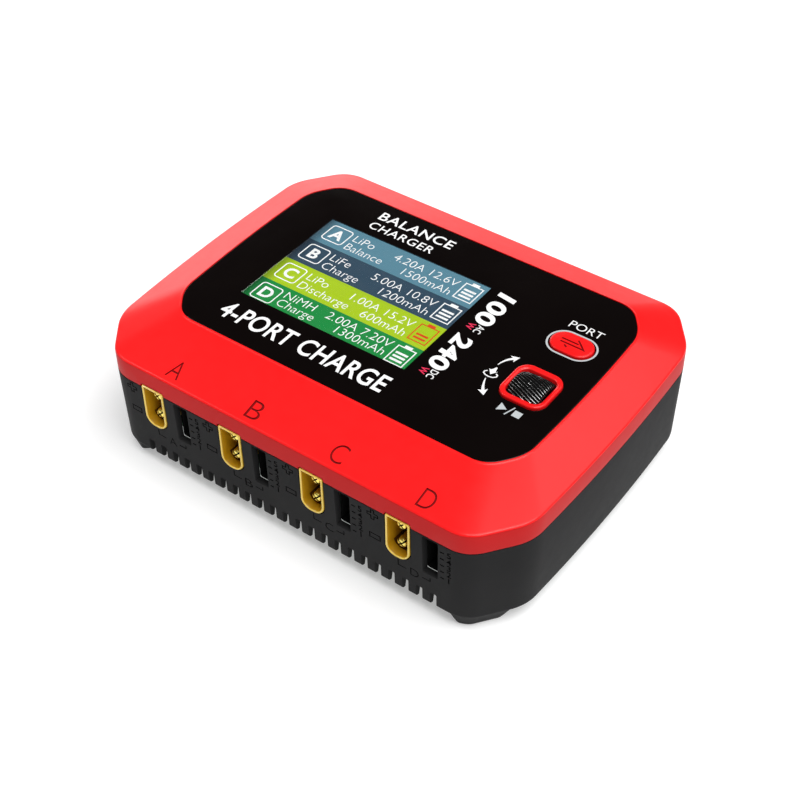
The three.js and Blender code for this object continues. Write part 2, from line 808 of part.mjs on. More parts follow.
// ---- Case screws --------------------------------------------------------------------------------
function caseScrew() {
  const seat = headSeatZ - screwSeatGap;
  const recess = seat - screwHeadHeight;
  const head = upright(circle(0, 0, screwHeadRadius), seat - screwHeadHeight, seat);
  const shank = upright(circle(0, 0, screwRadius, 12), seat - touch, seamZ - bossBelowSeam + screwReach);
  const half = driveWidth / 2;
  const wing = block(-driveReach, driveReach, -half, half, recess - past, recess + driveDepth);
  return cut(head.add(shank), [wing, wing.rotate([0, 0, 90])]);
}
screwSpots.forEach(([x, y], i) => {
  add(`case_screw_${i + 1}`, caseScrew(), steel()).position.set(x, y, 0);
});

// ---- Sockets and pins ---------------------------------------------------------------------------
// A power socket's frame has its face in X and Z, and runs back along Y from the face.
function powerSocket() {
  return cut(through(socketFace(0), -socketProud, socketDepth), [
    through(socketFace(-socketShell), -past, socketCavity),
    ...[-1, 1].map((side) => {
      const bore = circle(0, (side * pinPitch) / 2, pinRadius + pinClearance, 16);
      return through(bore, socketCavity - past, socketDepth + past);
    }),
  ]);
}

function powerPin() {
  const slot = pinSplit / 2;
  const tip = pinRecess + pinSplitDepth;
  const reach = pinRadius + past;
  return cut(through(circle(0, 0, pinRadius, 16), pinRecess, socketDepth), [
    block(-slot, slot, 0, tip, -reach, reach),
    block(-reach, reach, 0, tip, -slot, slot),
  ]);
}

function addPowerSocket(group, suffix) {
  add(`output_socket_${suffix}`, powerSocket(), goldPlastic(), group);
  add(`output_pin_${suffix}_positive`, powerPin(), goldPlate(), group).position.z = pinPitch / 2;
  add(`output_pin_${suffix}_negative`, powerPin(), goldPlate(), group).position.z = -pinPitch / 2;
}

function balanceSocket() {
  const latch = block(-balanceWidth, 0, -past, latchDepth, -latchHeight / 2, latchHeight / 2);
  return cut(through(balanceFace(balanceShell), 0, balanceLength), [
    through(balanceFace(0), -past, balanceCavity),
    latch.translate([0, 0, balanceHeight / 4]),
    latch.translate([0, 0, -balanceHeight / 4]),
  ]);
}

portLetters.forEach((letter, i) => {
  const port = new THREE.Group();
  port.position.set(portX[i], frontY, socketZ);
  charger.add(port);
  addPowerSocket(port, letter);
  const balance = add(`balance_socket_${letter}`, balanceSocket(), blackPlastic(), port);
  balance.position.set(balanceOffset, wall + lowerDraft + balanceRecess, -balanceDrop);
});

const dcInlet = new THREE.Group();
dcInlet.position.set(dcInletX, backY, inletZ);
dcInlet.rotation.set(0, Math.PI / 2, Math.PI, "ZYX");
charger.add(dcInlet);
add("dc_inlet", powerSocket(), goldPlastic(), dcInlet);
add("dc_inlet_pin_positive", powerPin(), goldPlate(), dcInlet).position.z = pinPitch / 2;
add("dc_inlet_pin_negative", powerPin(), goldPlate(), dcInlet).position.z = -pinPitch / 2;

function acInlet() {
  const cavity = rounded(acInletX, inletZ, acCavityLength, acCavityHeight, acCavityHeight / 2 - 0.01, 6);
  return cut(through(acFace(0), backY - acDepth, backY + socketProud), [
    through(cavity, backY - acCavityDepth, backY + past),
    ...[-1, 1].map((side) => {
      const bore = circle(acInletX + (side * acPinPitch) / 2, inletZ, acPinRadius + pinClearance, 14);
      return through(bore, backY - acDepth - past, backY - acCavityDepth + past);
    }),
  ]);
}
add("ac_inlet", acInlet(), blackPlastic());
[-1, 1].forEach((side, i) => {
  const pin = through(circle(0, 0, acPinRadius, 14), backY - acDepth, backY - acPinRecess);
  add(`ac_inlet_pin_${i + 1}`, pin, steel()).position.set(acInletX + (side * acPinPitch) / 2, 0, inletZ);
});

// ---- Boards -------------------------------------------------------------------------------------
function portBoard() {
  const left = portX[0] - socketWidth;
  const right = portX.at(-1) + balanceOffset + balanceWidth + portBoardMargin;
  return block(left, right, portBoardY, portBoardY + portBoardThickness, boardTopZ + touch, seamZ + 1);
}
add("port_board", portBoard(), boardGreen());

function mainBoard() {
  const front = portBoardY - portBoardLap;
  const back = lowerBackY - fanThickness - boardBackGap;
  const width = caseLength - 2 * (wall + lowerDraft + boardSideGap);
  const plan = rounded(0, (front + back) / 2, width, back - front, boardRadius, 2);
  return cut(upright(plan, mainBoardZ, boardTopZ), screwSpots.map(([x, y]) => {
    return upright(circle(x, y, bossRadius + boardScrewGap), mainBoardZ - past, boardTopZ + past);
  }));
}
add("main_board", mainBoard(), boardGreen());

// The wheel's place and the gap that it needs in the control board.
const wheelPlace = new THREE.Vector3(wheelX, windowY + wheelY, wheelZ);
const cheekInner = wheelWidth / 2 + wheelSideGap;
const cheekOuter = cheekInner + cheekThickness;
const bracketLeft = cheekOuter + encoderThickness + touch + bracketGap;
const bracketRight = cheekOuter + bracketGap;

function controlBoard() {
  const lcd = lcdEdges(0);
  const left = lcd.left - controlBoardLeft;
  const right = wheelX + controlBoardRight;
  const front = lcd.front - controlBoardMargin;
  const back = lcd.back + controlBoardMargin;
  const reach = wheelRadius + wheelClearance + wheelGapMargin;
  const [gapLeft, gapRight] = [wheelX - bracketLeft, wheelX + bracketRight];
  return block(left, right, front, back, controlBoardUnderZ, controlBoardTopZ).subtract(
    block(gapLeft, gapRight, wheelPlace.y - reach, wheelPlace.y + reach, 0, caseHeight),
  );
}
add("control_board", controlBoard(), boardGreen());

// ---- Screen module ------------------------------------------------------------------------------
function lcdFrame() {
  const { left, right, front, back } = lcdEdges(0);
  const topZ = deckTopZ - touch;
  const cellFloor = topZ - lcdGlassThickness - touch;
  return block(left, right, front, back, topZ - lcdThickness, topZ).subtract(
    block(left + lcdRim, right - lcdRim, front + lcdRim, back - lcdRim, cellFloor, topZ + past),
  );
}
add("lcd_frame", lcdFrame(), steel());

function lcdPanel() {
  const { left, right, front, back } = lcdEdges(-lcdRim - lcdCellClearance);
  return block(left, right, front, back, deckTopZ - touch - lcdGlassThickness, deckTopZ - touch);
}
add("lcd_panel", lcdPanel(), displayGlass());

// ---- Push button and its switch -----------------------------------------------------------------
const buttonUnderZ = deckUnderZ - touch - buttonLipThickness;

function portButton() {
  const crown = [];
  for (let step = 0; step <= 3; step++) {
    const angle = (Math.PI / 2) * (step / 3);
    const rise = buttonEdgeRise + (buttonRise - buttonEdgeRise) * Math.sin(angle);
    crown.push({ points: buttonFace(-buttonCrown * (1 - Math.cos(angle))), z: caseHeight + rise });
  }
  const cap = loft([{ points: buttonFace(0), z: buttonUnderZ }, ...crown]);
  return cap.add(upright(buttonFace(buttonLip), buttonUnderZ, deckUnderZ - touch));
}
add("port_button", portButton(), redPlastic());

// A switch's frame has its mounting plane at Z = 0.
function pushSwitch(travel) {
  const half = switchSize / 2;
  const wellFloor = switchHeight - plungerDip - travel - touch;
  return block(-half, half, -half, half, 0, switchHeight).subtract(
    upright(circle(0, 0, plungerRadius + plungerClearance, 16), wellFloor, switchHeight + past),
  );
}

function addSwitch(name, plungerName, travel, x, y, baseZ, reachZ) {
  add(name, pushSwitch(travel), ferrite()).position.set(x, y, baseZ);
  const plunger = upright(circle(0, 0, plungerRadius, 16), baseZ + switchHeight - plungerDip, reachZ);
  add(plungerName, plunger, blackPlastic()).position.set(x, y, 0);
}
addSwitch(
  "button_switch", "button_plunger", buttonTravel,
  buttonX, windowY + buttonY, controlBoardTopZ + touch, buttonUnderZ - touch,
);

// ---- Scroll wheel, its carriage and its switch --------------------------------------------------
// The carriage rides up and down inside a fixed bracket under the control board. It holds the axle.
const wheelGroup = new THREE.Group();
wheelGroup.position.copy(wheelPlace);
charger.add(wheelGroup);

function scrollWheel() {
  const rim = [];
  for (let i = 0; i < 2 * wheelRidges; i++) {
    const angle = (Math.PI * (i + 0.5)) / wheelRidges;
    const radius = i % 2 ? wheelRadius - wheelRidgeDepth : wheelRadius;
    rim.push(new THREE.Vector2(radius * Math.cos(angle), radius * Math.sin(angle)));
  }
  return across(rim, -wheelWidth / 2, wheelWidth / 2).subtract(
    across(circle(0, 0, axleRadius + axleClearance, 24), -wheelWidth, wheelWidth),
  );
}
add("scroll_wheel", scrollWheel(), blackPlastic(), wheelGroup);
add("wheel_axle", across(circle(0, 0, axleRadius, 24), -cheekOuter, cheekOuter), steel(), wheelGroup);

const carriageInnerZ = -wheelRadius - wheelClearance;
const carriageUnderZ = carriageInnerZ - carriageFloor;
const carriageTopZ = deckUnderZ - carriageDeckGap - wheelPlace.z;

function wheelCarriage() {
  const halfWidth = carriageWidth / 2;
  const outer = block(-cheekOuter, cheekOuter, -halfWidth, halfWidth, carriageUnderZ, carriageTopZ);
  return cut(outer, [
    block(-cheekInner, cheekInner, -carriageWidth, carriageWidth, carriageInnerZ, carriageTopZ + past),
    across(circle(0, 0, axleRadius + axleSeatClearance, 24), -cheekOuter - past, cheekOuter + past),
  ]);
}
add("wheel_carriage", wheelCarriage(), blackPlastic(), wheelGroup);

function wheelEncoder() {
  const left = -cheekOuter - touch - encoderThickness;
  const half = encoderHeight / 2;
  return block(left, -cheekOuter - touch, -half, half, carriageTopZ - encoderHeight, carriageTopZ);
}
add("wheel_encoder", wheelEncoder(), ferrite(), wheelGroup);

const switchRise = plungerDip + wheelTravel + switchStopGap;
const bracketInnerZ = carriageUnderZ - switchRise - switchHeight - touch;
const bracketTopZ = controlBoardUnderZ - wheelPlace.z - touch;

function wheelBracket() {
  const floorZ = bracketInnerZ - bracketWall;
  const rimZ = bracketTopZ - bracketWall;
  const outline = [
    [-bracketLeft - bracketWall, floorZ], [bracketRight + bracketWall, floorZ],
    [bracketRight + bracketWall, rimZ], [bracketRight + bracketFlange, rimZ],
    [bracketRight + bracketFlange, bracketTopZ], [bracketRight, bracketTopZ],
    [bracketRight, bracketInnerZ], [-bracketLeft, bracketInnerZ],
    [-bracketLeft, bracketTopZ], [-bracketLeft - bracketFlange, bracketTopZ],
    [-bracketLeft - bracketFlange, rimZ], [-bracketLeft - bracketWall, rimZ],
  ].map(([x, z]) => new THREE.Vector2(x, z));
  return through(outline, -carriageWidth / 2 - bracketMargin, carriageWidth / 2 + bracketMargin);
}
add("wheel_bracket", wheelBracket(), steel(), wheelGroup);
addSwitch(
  "wheel_switch", "wheel_plunger", wheelTravel,
  wheelPlace.x, wheelPlace.y, wheelPlace.z + bracketInnerZ + touch, wheelPlace.z + carriageUnderZ - touch,
);

// ---- Fan ----------------------------------------------------------------------------------------
const fan = new THREE.Group();
fan.position.set(fanX, lowerBackY - touch, fanZ);
charger.add(fan);
const ductRadius = fanSize / 2 - fanDuctWall;

// The fan's frame has its outer face at Y = 0 and runs inwards to negative Y.
function fanFrame() {
  const half = fanSize / 2;
  const duct = through(circle(0, 0, ductRadius, 32), -fanThickness - past, past);
  const holeSpot = half - fanHoleInset;
  const holes = [-1, 1].flatMap((sx) => [-1, 1].map((sy) => {
    return through(circle(sx * holeSpot, sy * holeSpot, fanHoleRadius, 10), -fanThickness - past, past);
  }));
  const body = through(rounded(0, 0, fanSize, fanSize, fanCorner, 3), -fanThickness, 0);
  const strutTop = -fanThickness + fanStrut;
  const strut = block(0, ductRadius + fanDuctWall / 2, -fanThickness, strutTop, -fanStrut / 2, fanStrut / 2);
  const struts = [0, 120, 240].map((angle) => strut.rotate([0, angle, 0]));
  const mount = through(circle(0, 0, fanHubRadius + fanMountMargin, 20), -fanThickness, strutTop);
  return joined([cut(body, [duct, ...holes]), ...struts, mount]);
}
add("fan_frame", fanFrame(), blackPlastic(), fan);

function fanRotor() {
  const back = -fanThickness + fanStrut + fanBackGap;
  const front = -fanFrontGap;
  const hub = through(circle(0, 0, fanHubRadius, 20), back, front);
  const reach = ductRadius - fanTipClearance;
  const [chord, thick] = [fanBladeChord / 2, fanBladeThickness / 2];
  const blade = block(fanHubRadius - fanBladeRoot, reach, -chord, chord, -thick, thick)
    .rotate([fanBladeTilt, 0, 0])
    .translate([0, (back + front) / 2, 0]);
  const blades = [];
  for (let i = 0; i < fanBlades; i++) {
    blades.push(blade.rotate([0, (360 * i) / fanBlades, 0]));
  }
  const sweep = through(circle(0, 0, reach, 32), back, front);
  return joined([hub, joined(blades).intersect(sweep)]);
}
add("fan_rotor", fanRotor(), blackPlastic(), fan);

// ---- Parts on the main board --------------------------------------------------------------------
const partsZ = boardTopZ + touch;

function heatSink() {
  const body = block(-heatSinkLength / 2, heatSinkLength / 2, 0, heatSinkDepth, 0, heatSinkHeight);
  const gap = (heatSinkLength - heatSinkFins * finThickness) / (heatSinkFins - 1);
  const channels = [];
  for (let i = 0; i < heatSinkFins - 1; i++) {
    const x = -heatSinkLength / 2 + finThickness + i * (gap + finThickness);
    channels.push(block(x, x + gap, -past, heatSinkDepth + past, heatSinkBase, heatSinkHeight + past));
  }
  return cut(body, channels);
}
const heatSinkY = lowerBackY - fanThickness - heatSinkGap - heatSinkDepth;
add("heat_sink", heatSink(), aluminium()).position.set(fanX, heatSinkY, partsZ);

const chokeY = frontY + screwInsetFront + bossRadius + chokeGap + chokeSize / 2;

function choke() {
  const core = upright(rounded(0, 0, chokeSize, chokeSize, chokeCorner, 2), 0, chokeHeight);
  const dimple = upright(circle(0, 0, chokeDimple, 12), chokeHeight - chokeDimpleDepth, chokeHeight + past);
  return core.subtract(dimple);
}
portLetters.forEach((letter, i) => {
  const place = add(`choke_${letter}`, choke(), ferrite());
  place.position.set(portX[i] + chokeOffset, chokeY, partsZ);
});

function transformer() {
  const half = transformerSize / 2;
  const coreHalf = half * transformerCore;
  const windingHalf = half * transformerWinding;
  const windingTop = transformerHeight - transformerFlange;
  const core = block(-half, half, -coreHalf, coreHalf, 0, transformerHeight);
  return core.add(block(-windingHalf, windingHalf, -half, half, transformerFlange, windingTop));
}
const transformerY = backY - acDepth - transformerGap;
const transformerX = acInletX + transformerShift;
add("transformer", transformer(), tapeYellow()).position.set(transformerX, transformerY, partsZ);

function bulkCapacitor() {
  const r = capacitorRadius;
  const edge = capacitorEdge;
  const grooveZ = capacitorGrooveZ;
  const profile = [
    [0, 0], [r - edge, 0], [r, edge],
    [r, grooveZ - edge], [r - capacitorGroove, grooveZ], [r, grooveZ + edge],
    [r, capacitorHeight - edge], [r - edge, capacitorHeight], [0, capacitorHeight],
  ].map(([x, y]) => new THREE.Vector2(x, y));
  return solidOf(new THREE.LatheGeometry(profile, 24).rotateX(Math.PI / 2));
}
const capacitor = add("bulk_capacitor", bulkCapacitor(), sleeveBlue());
const capacitorX = caseLength / 2 - wall - lowerDraft - capacitorSideGap - capacitorRadius;
capacitor.position.set(capacitorX, capacitorY, partsZ);

export default charger;
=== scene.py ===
import math

import bmesh
import bpy
from mathutils import Matrix, Vector


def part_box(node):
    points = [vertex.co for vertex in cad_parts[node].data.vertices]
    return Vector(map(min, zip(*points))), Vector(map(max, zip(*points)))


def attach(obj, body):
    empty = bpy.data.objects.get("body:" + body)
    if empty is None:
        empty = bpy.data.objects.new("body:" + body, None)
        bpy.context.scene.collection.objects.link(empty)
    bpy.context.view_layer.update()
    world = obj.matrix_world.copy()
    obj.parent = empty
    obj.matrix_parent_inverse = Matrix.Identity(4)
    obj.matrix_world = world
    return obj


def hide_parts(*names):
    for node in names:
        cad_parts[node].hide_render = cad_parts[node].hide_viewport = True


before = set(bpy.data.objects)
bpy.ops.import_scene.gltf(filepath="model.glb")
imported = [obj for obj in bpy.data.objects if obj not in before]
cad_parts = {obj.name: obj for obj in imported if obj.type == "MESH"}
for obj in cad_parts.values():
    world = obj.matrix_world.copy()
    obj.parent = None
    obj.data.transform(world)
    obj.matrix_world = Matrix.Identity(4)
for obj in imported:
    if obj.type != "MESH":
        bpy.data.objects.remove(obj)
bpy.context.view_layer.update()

scene = bpy.context.scene
MM = 0.001

# ---- Camera --------------------------------------------------------------------------------------
CAMERA_PLACE = (0.22165, -0.30229, 0.36145)
CAMERA_AZIMUTH = 36.277
CAMERA_ELEVATION = 42.982
CAMERA_ROLL = -0.60
CAMERA_LENS = 69.36


def make_camera():
    azimuth, elevation, roll = map(math.radians, (CAMERA_AZIMUTH, CAMERA_ELEVATION, CAMERA_ROLL))
    back = Vector((
        math.sin(azimuth) * math.cos(elevation),
        -math.cos(azimuth) * math.cos(elevation),
        math.sin(elevation),
    ))
    right = Vector((0, 0, 1)).cross(back).normalized()
    up = back.cross(right)
    turned_right = right * math.cos(roll) + up * math.sin(roll)
    turned_up = up * math.cos(roll) - right * math.sin(roll)
    camera = bpy.data.objects.new("camera", bpy.data.cameras.new("camera"))
    camera.data.lens = CAMERA_LENS
    camera.data.sensor_width = 36
    camera.data.clip_start = 0.01
    turn = Matrix((turned_right, turned_up, back)).transposed().to_4x4()
    camera.matrix_world = Matrix.Translation(CAMERA_PLACE) @ turn
    scene.collection.objects.link(camera)
    scene.camera = camera


make_camera()

# ---- Sizes in millimetres, from the frame --------------------------------------------------------


def box_mm(node):
    low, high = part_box(node)
    return low / MM, high / MM


def middle_mm(node):
    return [(low + high) / 2 for low, high in zip(*box_mm(node))]


cover_low, cover_high = box_mm("top_cover")
_, case_high = box_mm("lower_case")
window_low, window_high = box_mm("display_window")
wheel_low, wheel_high = box_mm("scroll_wheel")
button_low, button_high = box_mm("port_button")
fan_low, fan_high = box_mm("fan_frame")
ac_low, ac_high = box_mm("ac_inlet")

TONGUE = 1.6
HALF = cover_high.x
FRONT = cover_low.y
BACK = cover_high.y
TOP = window_high.z
SEAM = case_high.z - TONGUE
SHOULDER = TOP - 5.55
DECK = window_low.z - 0.15
DECK_UNDER = DECK - 2.0
FOOT = 4.6
WALL = 2.2
DRAFT = 0.6
CASE_EDGE = 1.8
PAD = 0.6
WINDOW_Y = (window_low.y + window_high.y) / 2
PORTS = [middle_mm(f"output_socket_{letter}")[0] for letter in "abcd"]
SOCKET_WIDTH = 8.65
SOCKET_HEIGHT = 16.2
SOCKET_Z = middle_mm("output_socket_a")[2]
BALANCE_WIDTH = 4.9
BALANCE_HEIGHT = 15
BALANCE_Z = middle_mm("balance_socket_a")[2]
BALANCE_OFFSET = 11.5
AC_X, _, AC_Z = middle_mm("ac_inlet")
AC_WIDTH = 22.6
AC_HEIGHT = 12.6
DC_X, _, DC_Z = middle_mm("dc_inlet")
SCREWS = range(1, 5)
SOCKET_GAP = 0.4
PAST = 2  # how far a cutting tool reaches past the surface it cuts
WHEEL = (wheel_low + wheel_high) / 2
BUTTON = (button_low + button_high) / 2
FAN = (fan_low + fan_high) / 2

SHOULDER_PLAN = {
    "half": HALF, "front": FRONT, "back": BACK, "clip_x": 13.65, "clip_y": 16.5, "blend": 6.0, "bow": 1.05,
}
WINDOW_PLAN = {
    "half": window_high.x, "front": window_low.y, "back": window_high.y,
    "clip_x": 8.45, "clip_y": 10.55, "blend": 5.2, "bow": 0.6,
}

# ---- Mesh building, in millimetres ---------------------------------------------------------------


def make_object(name, bm, materials, smooth_angle=30):
    """Turns a mesh in millimetres into an object in metres, smooth except at sharp edges."""
    bmesh.ops.remove_doubles(bm, verts=bm.verts, dist=1e-4)
    bmesh.ops.recalc_face_normals(bm, faces=bm.faces)
    bm.transform(Matrix.Scale(MM, 4))
    mesh = bpy.data.meshes.new(name)
    bm.to_mesh(mesh)
    bm.free()
    shade(mesh, smooth_angle)
    thing = bpy.data.objects.new(name, mesh)
    for one in materials if isinstance(materials, list) else [materials]:
        mesh.materials.append(one)
    scene.collection.objects.link(thing)
    return thing


def shade(mesh, smooth_angle):
    for face in mesh.polygons:
        face.use_smooth = True
    mesh.set_sharp_from_angle(angle=math.radians(smooth_angle))


def place(thing, body, slot, *nodes):
    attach(thing, body)
    if nodes:
        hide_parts(*nodes)


def loft(rings, bm=None):
    """A skin through rings of equal point count, each a list of (x, y, z), closed at both ends."""
    bm = bm or bmesh.new()
    rows = [[bm.verts.new(p) for p in ring] for ring in rings]
    count = len(rows[0])
    for low, high in zip(rows, rows[1:]):
        for i in range(count):
            j = (i + 1) % count
            bm.faces.new((low[i], low[j], high[j], high[i]))
    bm.faces.new(list(reversed(rows[0])))
    bm.faces.new(rows[-1])
    return bm


def ring_loft(rings, bm=None):
    """A closed ring-shaped skin: the last ring joins the first."""
    bm = bm or bmesh.new()
    rows = [[bm.verts.new(p) for p in ring] for ring in rings]
    count = len(rows[0])
    for low, high in zip(rows, rows[1:] + rows[:1]):
        for i in range(count):
            j = (i + 1) % count
            bm.faces.new((low[i], low[j], high[j], high[i]))
    return bm


def at_level(points, z):
    return [(x, y, z) for x, y in points]


def at_front(points, y):
    return [(x, y, z) for x, z in points]


def stack(steps, bm=None):
    """A closed skin through pairs of an outline in X and Y and its height."""
    return loft([at_level(outline, z) for outline, z in steps], bm)


def bore(steps, bm=None):
    """A closed skin through pairs of an outline in X and Z and its place along Y."""
    return loft([at_front(outline, y) for outline, y in steps], bm)


def bend(a, b, c, u):
    """A point on the curve from a to c that b pulls towards itself."""
    return (1 - u) ** 2 * a + 2 * u * (1 - u) * b + u * u * c


def quad_curve(a, b, c, steps):
    return [tuple(bend(p, q, r, i / steps) for p, q, r in zip(a, b, c)) for i in range(1, steps + 1)]


def plan(half, front, back, clip_x, clip_y, blend, bow, steps=10):
    """The case's plan: straight front and back, clipped and rounded corners, bowed ends."""
    end = half - bow
    corners = [
        (half - clip_x, front), (end, front + clip_y), (end, back - clip_y), (half - clip_x, back),
        (clip_x - half, back), (-end, back - clip_y), (-end, front + clip_y), (clip_x - half, front),
    ]
    points = []
    for i, corner in enumerate(corners):
        c = Vector(corner)
        before = (Vector(corners[i - 1]) - c).normalized()
        after = (Vector(corners[(i + 1) % 8]) - c).normalized()
        enter = c + before * blend
        leave = c + after * blend
        if i in (2, 6):
            control = (math.copysign(half + bow, enter.x), (front + back) / 2)
            points += quad_curve(points[-1], control, tuple(enter), 12)
        else:
            points.append(tuple(enter))
        points += quad_curve(tuple(enter), corner, tuple(leave), steps)
    return points


def inset(outline, by):
    clip = math.hypot(outline["clip_x"], outline["clip_y"])
    return {
        **outline,
        "half": outline["half"] - by,
        "front": outline["front"] + by,
        "back": outline["back"] - by,
        "clip_x": outline["clip_x"] - by * (1 + (outline["clip_x"] - clip) / outline["clip_y"]),
        "clip_y": outline["clip_y"] - by * (1 + (outline["clip_y"] - clip) / outline["clip_x"]),
        "blend": max(outline["blend"] - by * 0.4, 1.0),
    }


def between(low, high, share):
    return {key: low[key] + (high[key] - low[key]) * share for key in low}


def rounded(x, y, width, height, radii, steps=8):
    """A rectangle whose corners have the radii [right top, left top, left bottom, right bottom]."""
    signs = [(1, 1), (-1, 1), (-1, -1), (1, -1)]
    radii = radii if isinstance(radii, (list, tuple)) else [radii] * 4
    points = []
    for corner, (sx, sy) in enumerate(signs):
        radius = max(radii[corner], 0.03)
        cx = x + sx * (width / 2 - radius)
        cy = y + sy * (height / 2 - radius)
        for i in range(steps + 1):
            angle = math.pi / 2 * (corner + i / steps)
            points.append((cx + radius * math.cos(angle), cy + radius * math.sin(angle)))
    return points


def circle(x, y, radius, steps=32):
    return [
        (x + radius * math.cos(2 * math.pi * i / steps), y + radius * math.sin(2 * math.pi * i / steps))
        for i in range(steps)
    ]


def block(bm, x0, x1, y0, y1, z0, z1):
    corners = [(x0, y0), (x1, y0), (x1, y1), (x0, y1)]
    return stack([(corners, z0), (corners, z1)], bm)


def boolean(thing, cutter_bm, operation="DIFFERENCE"):
    """Cuts or joins a mesh in millimetres into an object, and removes the cutter."""
    cutter = make_object(thing.name + "_tool", cutter_bm, [])
    modifier = thing.modifiers.new("cut", "BOOLEAN")
    modifier.operation = operation
    modifier.solver = "EXACT"
    modifier.use_self = operation == "DIFFERENCE"
    modifier.object = cutter
    depsgraph = bpy.context.evaluated_depsgraph_get()
    mesh = bpy.data.meshes.new_from_object(thing.evaluated_get(depsgraph))
    thing.modifiers.clear()
    old = thing.data
    thing.data = mesh
    bpy.data.meshes.remove(old)
    bpy.data.objects.remove(cutter)


# ---- Lettering -----------------------------------------------------------------------------------


def letter_mesh(text, bold=0.0, shear=0.0, spacing=1.0, thickness=1.0):
    """The built-in font as a closed mesh, one unit high, lying in X and Y."""
    curve = bpy.data.curves.new("lettering", "FONT")
    curve.body = text
    curve.offset = bold
    curve.shear = shear
    curve.space_character = spacing
    curve.extrude = thickness / 2
    curve.resolution_u = 6
    thing = bpy.data.objects.new("lettering", curve)
    scene.collection.objects.link(thing)
    depsgraph = bpy.context.evaluated_depsgraph_get()
    mesh = bpy.data.meshes.new_from_object(thing.evaluated_get(depsgraph))
    bm = bmesh.new()
    bm.from_mesh(mesh)
    bmesh.ops.remove_doubles(bm, verts=bm.verts, dist=1e-5)
    bpy.data.objects.remove(thing)
    bpy.data.curves.remove(curve)
    bpy.data.meshes.remove(mesh)
    return bm


def extent(bm, axis):
    values = [v.co[axis] for v in bm.verts]
    return min(values), max(values)


CAP_HEIGHT = extent(letter_mesh("H"), 1)[1]


def write(target, text, x, y, cap, width=None, align="left", thickness=0.03, turn=0.0, **style):
    """Adds lettering to a mesh. (x, y) is the foot of its left edge, middle or right edge."""
    bm = letter_mesh(text, **style)
    low, high = extent(bm, 0)
    scale = cap / CAP_HEIGHT
    stretch = width / (high - low) if width else scale
    offset = {"left": -low, "middle": -(low + high) / 2, "right": -high}[align]
    for v in bm.verts:
        v.co = Vector(((v.co.x + offset) * stretch, v.co.y * scale, v.co.z * thickness))
    bm.transform(Matrix.Translation((x, y, 0)) @ Matrix.Rotation(math.radians(turn), 4, "Z"))
    merge(target, bm)


def merge(target, bm):
    mesh = bpy.data.meshes.new("merge")
    bm.to_mesh(mesh)
    bm.free()
    target.from_mesh(mesh)
    bpy.data.meshes.remove(mesh)


def stroke(target, points, width, thickness=0.03, closed=False):
    """Adds a flat line of constant width along points in X and Y."""
    count = len(points)
    left, right = [], []
    for i, point in enumerate(points):
        before = points[i - 1] if closed or i else point
        after = points[(i + 1) % count] if closed or i < count - 1 else point
        into = (Vector(point) - Vector(before)).normalized() if before != point else None
        out = (Vector(after) - Vector(point)).normalized() if after != point else None
        into = into or out
        out = out or into
        along = (into + out).normalized()
        normal = Vector((along.y, -along.x))
        reach = width / 2 / max(along.dot(out), 0.3)
        left.append(Vector(point) - normal * reach)
        right.append(Vector(point) + normal * reach)
    bm = bmesh.new()
    half = thickness / 2
    rows = [[bm.verts.new((p.x, p.y, z)) for p in side] for side, z in (
        (left, -half), (right, -half), (right, half), (left, half))]
    for a, b in zip(rows, rows[1:] + rows[:1]):
        for i in range(count if closed else count - 1):
            j = (i + 1) % count
            bm.faces.new((a[i], a[j], b[j], b[i]))
    if not closed:
        bm.faces.new([row[0] for row in rows])
        bm.faces.new([row[-1] for row in reversed(rows)])
    bmesh.ops.recalc_face_normals(bm, faces=bm.faces)
    merge(target, bm)


def plate(target, points, thickness=0.03):
    """Adds a flat filled outline in X and Y."""
    half = thickness / 2
    merge(target, stack([(points, -half), (points, half)]))


def arc(cx, cy, rx, ry, start, end, steps=12):
    return [
        (cx + rx * math.cos(math.radians(start + (end - start) * i / steps)),
         cy + ry * math.sin(math.radians(start + (end - start) * i / steps)))
        for i in range(steps + 1)
    ]


# ---- Materials -----------------------------------------------------------------------------------


class Nodes:
    """A small helper to build a material's node tree."""

    def __init__(self, name):
        self.material = bpy.data.materials.new(name)
        self.material.use_nodes = True
        self.tree = self.material.node_tree
        self.shader = self.tree.nodes["Principled BSDF"]
        self.coordinates = self.tree.nodes.new("ShaderNodeTexCoord")

    def add(self, kind, **values):
        node = self.tree.nodes.new(kind)
        for key, value in values.items():
            if key in node.inputs:
                node.inputs[key].default_value = value
            else:
                setattr(node, key, value)
        return node

    def link(self, source, target):
        self.tree.links.new(source, target)

    def noise(self, scale, detail=3.0, roughness=0.55):
        node = self.add("ShaderNodeTexNoise", Scale=scale, Detail=detail, Roughness=roughness)
        self.link(self.coordinates.outputs["Object"], node.inputs["Vector"])
        return node.outputs["Fac"]

    def spread(self, fac, low, high, source=(0.3, 0.7)):
        node = self.add("ShaderNodeMapRange")
        for socket, value in zip(("From Min", "From Max", "To Min", "To Max"), (*source, low, high)):
            node.inputs[socket].default_value = value
        self.link(fac, node.inputs["Value"])
        return node.outputs["Result"]

    def colour(self, fac, low, high, places=(0.3, 0.7)):
        node = self.add("ShaderNodeValToRGB")
        for element, place_, value in zip(node.color_ramp.elements, places, (low, high)):
            element.position = place_
            element.color = (*value, 1)
        self.link(fac, node.inputs["Fac"])
        return node.outputs["Color"]

    def bump(self, fac, distance, strength):
        node = self.add("ShaderNodeBump", Strength=strength, Distance=distance)
        self.link(fac, node.inputs["Height"])
        return node.outputs["Normal"]

    def finish(self, **values):
        for key, value in values.items():
            socket = self.shader.inputs[key.replace("_", " ")]
            if isinstance(value, bpy.types.NodeSocket):
                self.link(value, socket)
            else:
                socket.default_value = value
        return self.material


